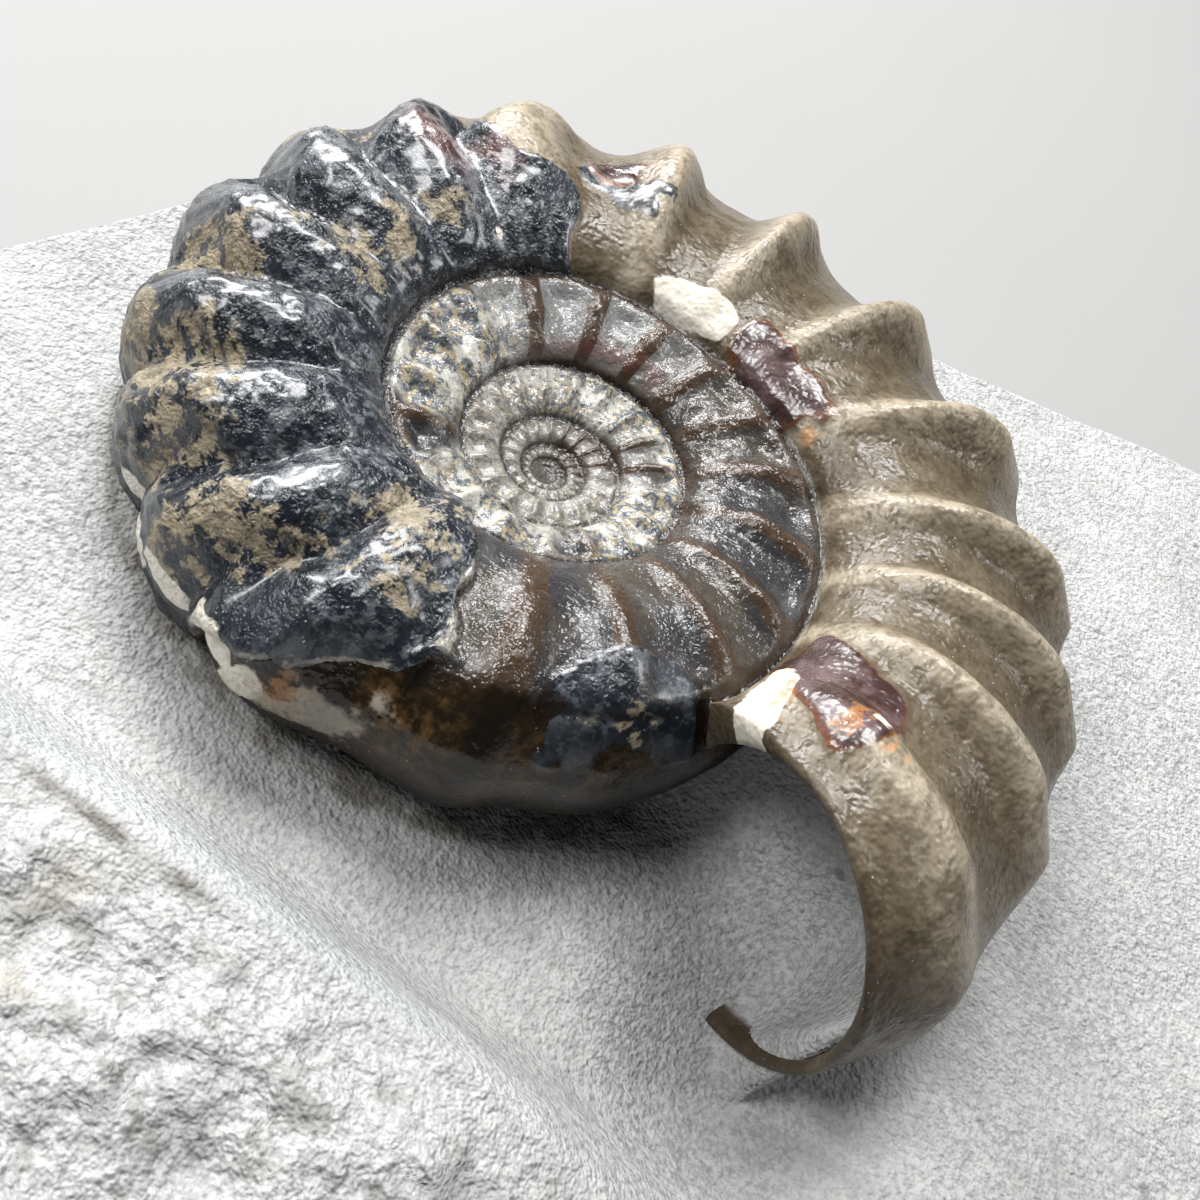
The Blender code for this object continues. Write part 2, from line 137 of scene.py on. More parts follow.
# Patches by the name of their field: how ragged the edge is (mm), then for each patch its turn angle, section
# angle, half-length along the whorl and half-width across it (mm), and the angle that it is turned by
PATCHES = {
    "blue patch": (0.6, (
        (148, 103, 2.4, 0.9, -15), (343, 62, 2.6, 2.2, 0), (352, 48, 1.6, 2.4, 0), (336, 40, 1.1, 1.6, 0),
        (335, 66, 0.9, 0.9, 0),
    )),
    "calcite": (0.28, (
        (119.5, 136, 3.0, 1.15, 8), (286.5, 7, 1.3, 1.4, 20), (292, -8, 0.9, 1.9, -30),
        (266, -3, 2.4, 0.8, 0), (276, 2, 1.6, 0.5, 0), (4.0, 140, 2.3, 1.3, 20), (10.5, 106, 0.25, 0.6, 0),
        (177.3, 132, 0.25, 0.45, 0),
    )),
    "amber": (0.35, (
        (74.8, 141, 0.5, 0.5, 0), (9, 113, 0.9, 0.5, 0), (9.5, 97, 0.35, 0.8, 0), (7, 137, 0.9, 0.4, 30),
        (299, 10, 0.7, 0.9, 0), (298, 0, 0.9, 0.6, 0),
    )),
    "milky": (0.4, (
        (303, 4, 1.7, 1.5, -10), (310, 33, 0.6, 0.6, 0), (297, -4, 1.0, 0.8, 0),
    )),
    "brown flake": (0.4, (
        (90, 136, 3.7, 1.8, -6), (102, 133, 1.4, 1.6, 0), (13.5, 125, 2.4, 4.6, -18),
        (149, 92, 1.5, 1.7, 10),
    )),
    "maroon": (0.5, (
        (183.5, 84, 1.5, 2.6, 0), (174, 96, 0.9, 1.6, 30), (487, 134, 1.6, 0.5, 0), (505, 138, 1.6, 0.5, 0),
    )),
    "tan area": (0.0, (
        (196, 32, 2.4, 3.0, 0), (217, 105, 2.2, 4.0, 0), (228, 50, 2.6, 4.5, 0), (242, 25, 2.4, 3.5, 0),
        (250, 45, 3.0, 4.5, 0), (262, 40, 3.2, 4.5, 0), (276, 42, 3.0, 4.5, 0), (300, 88, 1.8, 2.6, 0),
        (292, 112, 2.6, 2.4, 0), (206, 120, 1.6, 2.4, 0), (190, 118, 1.2, 1.6, 0), (284, 60, 2.2, 2.5, 0),
        (310, 75, 0.8, 2.6, 0), (346, 44, 1.6, 2.2, 0),
    )),
    "orange cloud": (0.9, (
        (315, 21, 2.0, 1.8, 0), (330, 15, 1.9, 1.7, 0), (309, 30, 1.2, 1.0, 0), (322, 38, 1.2, 0.9, 0),
        (346, 24, 1.8, 1.4, 0), (313, 42, 1.0, 0.6, 0),
    )),
}

SHELL_IOR = 1.46
STONE_IOR = 1.45

# The outer whorl's marks end at this turn angle, and a field is at this value far from its patches
LAST_OUTER_TURN = 361.0
FAR_OUTSIDE = -9.0

# Fineness of the meshes
ROWS_PER_TURN = 480
FLANK_STEPS = 46
OUTSIDE_STEPS = 42
INNER_STEPS = (36, 24, 16, 12, 8)
WALL_STEPS = 44
RIM_STEPS = 5
BLOCK_DIRECTIONS = 540
SHADED_RINGS = 10
TOP_RING_SPACING = 0.00046
SIDE_RINGS = 26

# The block's top is plain and level within this distance of the coil's axis, where the shell hides it
HIDDEN_RADIUS = 0.0155
HIDDEN_LEVEL = -0.0046
BASE_SHRINK = 0.975

# Rings stop short of the block's edges by the rest of this share, so that the edges are rounded
TOP_SHARE = 0.985

BLOCK_OUTLINE = (
    (-0.0283, 0.0043), (-0.0250, 0.0135), (-0.0200, 0.0230), (-0.0120, 0.0270), (0.0020, 0.0318),
    (0.0165, 0.0365), (0.0270, 0.0400), (0.0393, 0.0443), (0.0480, 0.0450), (0.0545, 0.0370),
    (0.0575, 0.0240), (0.0600, 0.0080), (0.0580, -0.0080), (0.0530, -0.0200), (0.0410, -0.0310),
    (0.0260, -0.0395), (0.0100, -0.0455), (-0.0050, -0.0480), (-0.0190, -0.0455), (-0.0310, -0.0375),
    (-0.0375, -0.0260), (-0.0365, -0.0150), (-0.0320, -0.0054),
)
DISH_LEVEL = -0.0045
DISH_AT_APERTURE = -0.0062
BANK_CREST = -0.0296
BANK_FOOT = 0.0055
BANK_RISE = 0.0058
BANK_FADE = (0.012, 0.034)
FILL_RISE = 0.0170
FILL_START = -2.5
FILL_END = HOLLOW_END + 6.0

WINDING_SIZES = (
    "Whorl expansion", "Centre line radius", "Tube half-width", "Tube half-height", "Rim direction",
    "Mid-plane",
)

# The stage: the camera's tilt and roll are in degrees, and every light points at one place
CAMERA_PLACE = (-0.00484, -0.04589, 0.08003)
CAMERA_TILT = 38.31
CAMERA_ROLL = 35.28
LIT_PLACE = (-0.005, 0.0, 0.02)
FLOOR_REACH = 3.0

# Dip of the stone in front of the rim's lower end, from the coil's axis
TIP_PLACE = (0.0250, -0.0205)
TIP_DIP = 0.0026
TIP_DIP_SPREAD = 0.0062


def number(name, description, default, **limits):
    return FloatProperty(name=name, description=description, default=default, **limits)


def length(name, description, default):
    return number(name, description, default, min=0.0, unit="LENGTH", precision=5)


def power(name, description, default):
    return number(name, description, default, min=0.0, subtype="POWER")


def colour(name, description, default):
    return FloatVectorProperty(
        name=name, description=description, default=default, subtype="COLOR", min=0.0, max=1.0
    )


class AmmoniteSettings(bpy.types.PropertyGroup):
    """Sizes and colours of the shell."""

    whorl_expansion: number("Whorl expansion", "Growth of every size in one turn", 1.888, min=1.2, max=3.0)
    centre_line_radius: length("Centre line radius", "From the coil's axis to the tube's middle", 0.0249)
    tube_half_width: length("Tube half-width", "Half the width of the last whorl, at the rim", 0.01025)
    tube_half_height: length("Tube half-height", "Half the height of the last whorl, at the rim", 0.01086)
    wall_thickness: length("Wall thickness", "Thickness of the shell's wall at the aperture", 0.0020)
    dark_layer: length("Dark layer", "Thickness of the dark shell over the brown cast", 0.0007)
    cast_brown: colour("Cast brown", "Satin brown of the bare cast", (0.150, 0.119, 0.078))
    # The crest colour is a painted highlight on the ribs; the trough colour is painted shade between the ribs
    # and also the cast's darker marks
    cast_crest_highlight: colour("Cast crest", "Paler brown on the ribs of the cast", (0.35, 0.297, 0.218))
    cast_dark_brown_and_shade: colour("Cast trough", "Darker brown between the ribs", (0.048, 0.033, 0.018))
    dark_shell: colour("Dark shell", "Blue-black of the thick shell", (0.007, 0.011, 0.018))
    # Partly real pale flakes, partly painted sheen of the shell's upper faces
    silver_flake_and_sheen: colour("Silver", "Pale flakes of the thick shell", (0.22, 0.24, 0.26))
    tan: colour("Tan", "Mottle of sediment on the shell", (0.33, 0.275, 0.185))
    dome_brown: colour("Dome brown", "Very dark glossy brown of the front", (0.008, 0.005, 0.002))
    amber: colour("Amber", "Orange clouds and amber edges", (0.46, 0.195, 0.050))
    calcite: colour("Calcite", "White calcite", (0.72, 0.68, 0.60))
    flake_brown: colour("Flake brown", "Purple-brown glossy flakes", (0.040, 0.018, 0.015))
    slate: colour("Slate", "Grey of the inner whorls", (0.034, 0.033, 0.035))


class LimestoneSettings(bpy.types.PropertyGroup):
    """Sizes and colours of the block."""

    edge_rounding: length("Edge rounding", "How far the broken edge falls below the top", 0.0022)
    break_depth: length("Break depth", "Unevenness of the broken sides", 0.0011)
    pale: colour("Pale stone", "Prepared limestone", (0.48, 0.48, 0.47))
    dark: colour("Dark stone", "Damp grains and hollows", (0.27, 0.275, 0.27))
    stain: colour("Stain", "Brown iron stains", (0.26, 0.215, 0.145))


class StageSettings(bpy.types.PropertyGroup):
    """The floor, the lights and the camera."""

    floor_colour: colour("Floor colour", "Plain pale floor", (0.33, 0.33, 0.325))
    key_power: power("Key light", "Power of the light overhead", 2.2)
    fill_power: power("Left light", "Power of the light high on the left", 1.5)
    side_power: power("Side light", "Power of the light at the back right", 0.5)
    back_power: power("Back light", "Power of the low back light", 2.6)
    ambient: number("Ambient", "Strength of the even light all round", 0.09, min=0.0, subtype="FACTOR")
    lens: number("Lens", "Focal length of the camera", 39.0, min=1.0, subtype="DISTANCE_CAMERA")


def smooth(value):
    value = np.clip(value, 0.0, 1.0)
    return value * value * (3.0 - 2.0 * value)


def curve(pairs, angle):
    """Values at many angles, on a smooth curve through (angle, value) pairs."""
    xs, ys = (np.array(column, float) for column in zip(*pairs))
    angle = np.clip(np.asarray(angle, float), xs[0], xs[-1])
    i = np.clip(np.searchsorted(xs, angle, side="right") - 1, 0, len(xs) - 2)
    before, after = np.maximum(i - 1, 0), np.minimum(i + 2, len(xs) - 1)
    span = xs[i + 1] - xs[i]
    t = (angle - xs[i]) / span
    slope_in = (ys[i + 1] - ys[before]) / (xs[i + 1] - xs[before]) * span
    slope_out = (ys[after] - ys[i]) / (xs[after] - xs[i]) * span
    return (
        ys[i] * (2 * t**3 - 3 * t**2 + 1)
        + slope_in * (t**3 - 2 * t**2 + t)
        + ys[i + 1] * (3 * t**2 - 2 * t**3)
        + slope_out * (t**3 - t**2)
    )


class Coil:
    """The rule that every whorl follows."""

    def __init__(self, settings):
        self.expansion = settings.whorl_expansion
        self.centre = settings.centre_line_radius
        self.half_width = settings.tube_half_width
        self.half_height = settings.tube_half_height
        self.wall = settings.wall_thickness

    def growth(self, turn):
        return self.expansion ** (-np.asarray(turn, float) / 360.0)

    def seam_radius(self, turn):
        return SEAM_RADIUS * self.growth(turn) * np.exp(curve(SEAM_SWELL, turn))

    def smooth_height(self, turn, radius):
        """Height of a whorl without ribs, over the mid-plane, on its outer half."""
        size, full = self.growth(turn), curve(FULLNESS, turn)
        across = np.clip((radius - self.centre * size) / (self.half_width * full * size), -0.99, 0.99)
        return self.half_height * full * size * np.sqrt(1.0 - across**2)

    def outer_seam(self, turn):
        """Section angle at which the next whorl's seam lies on this whorl."""
        size = self.growth(turn)
        across = self.seam_radius(turn - 360.0) - self.centre * size
        across = across / (self.half_width * curve(FULLNESS, turn) * size)
        return np.degrees(np.arccos(np.clip(across, -0.3, 0.9)))

    def own_seam(self, turn):
        """Section angle of a whorl's own seam."""
        full = self.half_height * curve(FULLNESS, turn) * self.growth(turn)
        height = self.smooth_height(turn + 360.0, self.seam_radius(turn))
        return 180.0 - np.degrees(np.arcsin(np.clip(height / full, 0.0, 0.95)))

    def inner_half_width(self, turn):
        reach = self.centre * self.growth(turn) - self.seam_radius(turn)
        return reach / -np.cos(np.radians(self.own_seam(turn)))

    def rib_wave(self, turn, on_flank=0.0):
        """1 on a rib's crest and 0 between two ribs."""
        inner = np.arange(RIB_ANGLES[-1] + INNER_RIB_SPACING, TURNS_END + 60, INNER_RIB_SPACING)
        crests = np.append(RIB_ANGLES, inner)
        place = np.interp(turn, crests, np.arange(len(crests)))
        sharpness = curve(RIB_SHARPNESS, turn) * (1.0 + curve(FLANK_SHARPENING, turn) * on_flank)
        wave = (0.5 + 0.5 * np.cos(2.0 * np.pi * place)) ** sharpness
        return np.where(turn < RIB_ANGLES[0], 1.0 - smooth((RIB_ANGLES[0] - turn) / RIB_ANGLES[0]), wave)

    def rib_at(self, turn, section):
        """The rib's wave at a section angle, where a leaning rib has moved to older shell."""
        lean = curve(RIB_LEAN, turn) * smooth((section - RIB_TIP_ANGLE) / RIB_LEAN_SPREAD)
        return self.rib_wave(turn - lean, smooth((section - 40.0) / 45.0))

    def relief(self, turn, section):
        """How far the ribs stand out of the smooth tube, at a size of 1."""
        seam = self.own_seam(turn)
        inner = smooth((seam - section - 2.0) / RIB_RISE)
        outer = 1.0 - curve(OUTER_FADE, turn) * smooth((RIB_TIP_ANGLE + 23.0 - section) / 38.0)
        hidden = smooth((turn - 325.0) / 35.0)
        near_next = smooth((section - self.outer_seam(turn)) / 22.0)
        depth = curve(RIB_DEPTH, turn) * inner * outer
        depth = depth * (1.0 - hidden * (1.0 - near_next))
        at_rim = RIM_PULL_IN * smooth((seam - section) / 40.0)
        depth = np.where(turn < RIB_ANGLES[0], np.maximum(depth, at_rim), depth)
        wave = self.rib_at(turn, section)
        tip = curve(RIB_TIP, turn) * np.exp(-(((section - RIB_TIP_ANGLE) / RIB_TIP_SPREAD) ** 2))
        return tip * wave**2 - depth * (1.0 - wave)

    def hollow_corner(self, turn):
        """Section angles, on the hollow's wall and on the whorl inside it, where the two meet."""
        low, high = 60.0, 180.0
        size = self.growth(turn + 360.0)
        full = curve(FULLNESS, turn + 360.0)
        width, height = self.half_width * full * size, self.half_height * full * size
        for _ in range(30):
            middle = 0.5 * (low + high)
            radius, up = self.wall_point(turn, middle)
            inside = ((radius - self.centre * size) / width) ** 2 + (up / height) ** 2 < 1.0
            low, high = (low, middle) if inside else (middle, high)
        radius, up = self.wall_point(turn, low)
        return low, math.degrees(math.atan2(up / height, (radius - self.centre * size) / width))

    def wall_point(self, turn, section):
        size, full, angle = self.growth(turn), curve(FULLNESS, turn), math.radians(section)
        width = self.half_width * full * size if section <= 90.0 else self.inner_half_width(turn)
        height = self.half_height * full * size
        normal = (math.cos(angle) / width, math.sin(angle) / height)
        far = self.wall / math.hypot(*normal)
        radius = self.centre * size + width * math.cos(angle) - far * normal[0]
        return radius, height * math.sin(angle) - far * normal[1]


class Sheet:
    """Points as (turn, section, stand-out), and the faces between them, before the coil is wound."""

    def __init__(self):
        self.points, self.faces, self.corners = [], [], []

    def corner(self, turn, section, out=None, height=None):
        """A new point, as a (point index, turn, section) corner. Without a stand-out it follows the ribs."""
        self.points.append((turn, section, out or 0.0, out is None, height))
        return len(self.points) - 1, turn, section

    def chain(self, turn, sections, out=None):
        return [self.corner(turn, section, out) for section in sections]

    def face(self, *corners):
        self.faces.append([corner[0] for corner in corners])
        self.corners.extend(corner[1:] for corner in corners)

    def fan(self, chain, middle):
        for a, b in zip(chain, chain[1:]):
            self.face(a, middle, b)

    def strip(self, first, second):
        """Faces between two chains of corners, which may have different counts."""
        i = j = 0
        while i < len(first) - 1 or j < len(second) - 1:
            ahead_first = (i + 1) / max(len(first) - 1, 1)
            ahead_second = (j + 1) / max(len(second) - 1, 1)
            if i < len(first) - 1 and j < len(second) - 1 and abs(ahead_first - ahead_second) < 1e-6:
                corners = [first[i], second[j], second[j + 1], first[i + 1]]
                i, j = i + 1, j + 1
            elif j == len(second) - 1 or (i < len(first) - 1 and ahead_first < ahead_second):
                corners = [first[i], second[j], first[i + 1]]
                i += 1
            else:
                corners = [first[i], second[j], second[j + 1]]
                j += 1
            kept = [c for k, c in enumerate(corners) if c[0] != corners[k - 1][0]]
            if len(kept) > 2:
                self.face(*kept)


def spread(start, end, steps):
    return [start + (end - start) * step / steps for step in range(steps + 1)]


def whorl_sheet(coil):
    """The whole shell as one closed sheet: whorls, eye, rim, hollow and hidden underside."""
    sheet = Sheet()
    count = ROWS_PER_TURN
    step = 360.0 / count
    last = int(TURNS_END / step)
    turns = np.arange(last + 1) * step
    own, outer = coil.own_seam(turns), coil.outer_seam(turns)
    seams = [sheet.corner(turns[i], own[i]) for i in range(last + 1)]

    def flank(i):
        steps = FLANK_STEPS if i < count else INNER_STEPS[i // count - 1]
        chain = [seams[i]] + sheet.chain(turns[i], spread(own[i], outer[i], steps)[1:-1])
        end = seams[i - count] if i >= count else sheet.corner(turns[i], outer[i])
        return chain + [(end[0], turns[i], outer[i])]

    flanks = [flank(i) for i in range(last + 1)]
    below = spread(coil.hollow_corner(0.0)[1], LOWEST_SECTION, OUTSIDE_STEPS)
    outsides = [[flanks[i][-1]] + sheet.chain(turns[i], below) for i in range(count + 1)]
    for i in range(last):
        sheet.strip(flanks[i], flanks[i + 1])
    for i in range(count):
        sheet.strip(outsides[i], outsides[i + 1])

    # The eye of the coil
    eye = sheet.corner(TURNS_END, 90.0, 0.0, coil.half_height * coil.growth(TURNS_END) * EYE_RISE)
    ring = seams[last - count :] + flanks[last][1:-1]
    for a, b in zip(ring, ring[1:] + ring[:1]):
        sheet.face(a, b, eye)

    # The hollow of the aperture: its wall, and the whorl inside it
    back = int(HOLLOW_END / step)
    walls, venters = [], []
    for i in range(back + 1):
        wall_angle, whorl_angle = coil.hollow_corner(turns[i])
        turn = 360.0 + turns[i]
        if i == 0:
            venter = [(corner[0], turn, corner[2]) for corner in outsides[count][1:]]
        else:
            venter = [(sheet.corner(turns[i], wall_angle, -coil.wall)[0], turn, whorl_angle)]
            venter += sheet.chain(turn, spread(whorl_angle, LOWEST_SECTION, OUTSIDE_STEPS)[1:])
        wall = sheet.chain(turns[i], spread(wall_angle, LOWEST_SECTION, WALL_STEPS)[1:], -coil.wall)
        walls.append([(venter[0][0], turns[i], wall_angle)] + wall)
        venters.append(venter)
    for i in range(back):
        sheet.strip(walls[i + 1], walls[i])
        sheet.strip(venters[i], venters[i + 1])
    sheet.strip(walls[-1], venters[-1])

    # The rim, rounded from the outside to the hollow's wall
    rim = flanks[0] + outsides[0][1:]
    inside = [flanks[0][0]] + walls[0]
    along_rim, along_wall = np.linspace(0, 1, len(rim)), np.linspace(0, 1, len(inside))
    ends = np.interp(along_rim, along_wall, [corner[2] for corner in inside])
    chains = [rim]
    for part in range(1, RIM_STEPS):
        t = part / RIM_STEPS
        chain = [flanks[0][0]]
        for corner, end in zip(rim[1:], ends[1:]):
            section = corner[2] + (end - corner[2]) * t
            near_seam = min(1.0, (own[0] - section) / 12.0)
            bulge = -RIM_BULGE * math.sin(math.pi * t) * near_seam
            ribbed = coil.relief(np.array(0.0), np.array(section))
            depth = ribbed * (1.0 - t) - coil.wall * t * max(near_seam, 0.15)
            chain.append((sheet.corner(bulge, section, float(depth))[0], 0.0, section))
        chains.append(chain)
    chains.append(inside)
    for a, b in zip(chains, chains[1:]):
        sheet.strip(b, a)

    # The hidden underside
    middle = (sheet.corner(0.0, 90.0, 0.0, -UNDERSIDE_DROP)[0], 0.0, LOWEST_SECTION)
    ends, inner_ends, wall_ends, rim_ends = (
        [chain[-1] for chain in group] for group in (outsides, venters, walls, chains[1:-1])
    )
    sheet.fan(ends[back:], middle)
    sheet.fan(inner_ends, middle)
    sheet.strip(wall_ends, ends[: back + 1])
    for a, b in zip([ends[0]] + rim_ends, rim_ends + [wall_ends[0]]):
        if len({a[0], b[0], wall_ends[0][0]}) == 3:
            sheet.face(a, b, wall_ends[0])
    sheet.face(middle, ends[back], wall_ends[-1])
    sheet.face(middle, wall_ends[-1], inner_ends[-1])
    return sheet


def sheet_object(name, sheet, coil):
    """The unwound sheet as a mesh whose attributes hold what the winding needs."""
    turn, section, given, ribbed = (np.array([point[i] for point in sheet.points]) for i in range(4))
    height = np.array([math.nan if point[4] is None else point[4] for point in sheet.points])
    mesh = bpy.data.meshes.new(name)
    mesh.from_pydata(np.stack([turn, section, np.zeros_like(turn)], axis=1).tolist(), [], sheet.faces)
    for label, values in (
        ("turn", turn), ("section", section), ("fullness", curve(FULLNESS, turn)),
        ("stand out", np.where(ribbed, coil.growth(turn) * coil.relief(turn, section), given)),
        ("inner half-width", coil.inner_half_width(turn)), ("fixed height", np.nan_to_num(height)),
        ("on axis", ~np.isnan(height)),
    ):
        write(mesh, label, values)
    corners = np.array(sheet.corners, float)
    mesh.uv_layers.new(name="Growth").data.foreach_set("uv", (corners / 100.0).astype(np.float32).ravel())
    corner_turn, corner_section = corners.T
    write(mesh, "crest", coil.rib_at(corner_turn, corner_section), "CORNER")
    write(mesh, "whorl", corner_turn / 360.0, "CORNER")
    piece = bpy.data.objects.new(name, mesh)
    bpy.context.scene.collection.objects.link(piece)
    return piece


class Wire:
    """A node's output. Sums, differences, products and quotients of wires add Math nodes."""

    def __init__(self, maker, socket):
        self.maker, self.socket = maker, socket

    def __add__(self, other):
        return self.maker.math("ADD", self, other)

    def __mul__(self, other):
        return self.maker.math("MULTIPLY", self, other)

    def __sub__(self, other):
        return self.maker.math("SUBTRACT", self, other)

    def __rsub__(self, other):
        return self.maker.math("SUBTRACT", other, self)

    def __truediv__(self, other):
        return self.maker.math("DIVIDE", self, other)

    __radd__, __rmul__ = __add__, __mul__


class NodeMaker:
    """Adds nodes to a tree and joins them."""

    def __init__(self, tree):
        self.tree, self.count = tree, 0

    def feed(self, socket, value):
        if isinstance(value, Wire):
            self.tree.links.new(value.socket, socket)
            return
        if hasattr(value, "__len__") and len(value) == 3 and len(socket.default_value) == 4:
            value = (*value, 1.0)
        socket.default_value = value

    def put(self, kind, inputs=None, output=0, **settings):
        """Adds a node, feeds its inputs by name or number, and gives back one of its outputs."""
        node = self.tree.nodes.new(kind)
        node.location = (self.count * 40.0, -(self.count % 9) * 160.0)
        self.count += 1
        for key, value in settings.items():
            setattr(node, key, value)
        for key, value in (inputs or {}).items():
            self.feed(node.inputs[key], value)
        return Wire(self, node.outputs[output]) if len(node.outputs) else node

    def given(self):
        """The inputs of a node group."""
        outputs = self.tree.nodes.new("NodeGroupInput").outputs
        return {socket.name: Wire(self, socket) for socket in outputs if socket.name}

    def math(self, operation, *values):
        return self.put("ShaderNodeMath", dict(enumerate(values)), operation=operation)


def winding_tree(material):
    """Node tree that winds the sheet round the coil's axis by the rule of the spiral."""
    tree = bpy.data.node_groups.new("Wind the whorls", "GeometryNodeTree")
    tree.interface.new_socket("Geometry", in_out="OUTPUT", socket_type="NodeSocketGeometry")
    tree.interface.new_socket("Geometry", in_out="INPUT", socket_type="NodeSocketGeometry")
    for name in WINDING_SIZES:
        tree.interface.new_socket(name, in_out="INPUT", socket_type="NodeSocketFloat")
    tree.interface.new_socket("Coil centre", in_out="INPUT", socket_type="NodeSocketVector")
    m = NodeMaker(tree)
    given = m.given()

    def named(label):
        return m.put("GeometryNodeInputNamedAttribute", {"Name": label}, data_type="FLOAT")

    def choose(switch, off, on):
        return m.put("GeometryNodeSwitch", {0: switch, 1: off, 2: on}, input_type="FLOAT")

    turn, section, on_axis = named("turn"), named("section"), named("on axis")
    size = m.math("POWER", given["Whorl expansion"], turn / -360.0)
    angle = m.math("RADIANS", section)
    cosine, sine = m.math("COSINE", angle), m.math("SINE", angle)
    full_size = size * named("fullness")
    toward_axis = m.math("GREATER_THAN", section, 90.0)
    width = choose(toward_axis, given["Tube half-width"] * full_size, named("inner half-width"))
    height = given["Tube half-height"] * full_size
    normal_out, normal_up = cosine / width, sine / height
    reach = named("stand out") / m.math("SQRT", normal_out * normal_out + normal_up * normal_up)
    radius = given["Centre line radius"] * size + width * cosine + reach * normal_out
    radius = radius * (1.0 - on_axis)
    up = choose(on_axis, height * sine + reach * normal_up, named("fixed height"))
    direction = m.math("RADIANS", turn + given["Rim direction"])
    x, y = radius * m.math("COSINE", direction), radius * m.math("SINE", direction)
    place = m.put("ShaderNodeCombineXYZ", {0: x, 1: y, 2: up + given["Mid-plane"]})
    moved = m.put("ShaderNodeVectorMath", {0: place, 1: given["Coil centre"]}, operation="ADD")
    wind = m.put("GeometryNodeSetPosition", {"Geometry": given["Geometry"], "Position": moved})
    whole = m.put("GeometryNodeRealizeInstances", {0: wind})
    finished = m.put("GeometryNodeSetMaterial", {"Geometry": whole, "Material": material})
    m.put("NodeGroupOutput", {0: finished})
    return tree


def made_plain(piece, tree, values):
    """Runs a node tree on a piece and leaves its result as a plain mesh."""
    modifier = piece.modifiers.new(tree.name, "NODES")
    modifier.node_group = tree
    for item in tree.interface.items_tree:
        if item.in_out == "INPUT" and item.name in values:
            modifier[item.identifier] = values[item.name]
    graph = bpy.context.evaluated_depsgraph_get()
    result = piece.evaluated_get(graph)
    mesh = bpy.data.meshes.new_from_object(result, preserve_all_data_layers=True, depsgraph=graph)
    piece.modifiers.clear()
    piece.data = mesh
    mesh.name = piece.name
    return mesh


def read(mesh, label):
    values = np.empty(len(mesh.vertices), np.float32)
    mesh.attributes[label].data.foreach_get("value", values)
    return values.astype(float)


def write(mesh, label, values, domain="POINT"):
    mesh.attributes.new(label, "FLOAT", domain).data.foreach_set("value", np.asarray(values, np.float32))


def vectors(mesh, key):
    """The mesh's places ("co") or its normals ("normal")."""
    values = np.empty(len(mesh.vertices) * 3, np.float32)
    mesh.vertices.foreach_get(key, values)
    return values.reshape(-1, 3).astype(float)


def uneven(places, size_mm, octaves=3, offset=0.0):
    """Smooth noise from about -1 to 1 at many places, with lumps of the given size."""
    scaled = places * (1000.0 / size_mm) + offset
    return np.array([noise.fractal(place, 0.9, 2.0, octaves) for place in scaled.tolist()])


def patch_field(coil, patches, turn, section):
    """How far inside the nearest patch a place lies, in mm, and below 0 outside it."""
    field = np.full(turn.shape, -9.0)
    for centre_turn, centre_section, half_length, half_width, turned in patches:
        size = float(coil.growth(centre_turn))
        radius = coil.centre * size + coil.half_width * size * math.cos(math.radians(centre_section))
        along = np.radians(turn - centre_turn) * radius * 1000.0
        across = np.radians(section - centre_section) * coil.half_height * size * 1000.0
        c, s = math.cos(math.radians(turned)), math.sin(math.radians(turned))
        a, b = (c * along + s * across) / half_length, (c * across - s * along) / half_width
        reach = (np.abs(a) ** 4 + np.abs(b) ** 4) ** 0.25
        field = np.maximum(field, (1.0 - reach) * min(half_length, half_width))
    return field


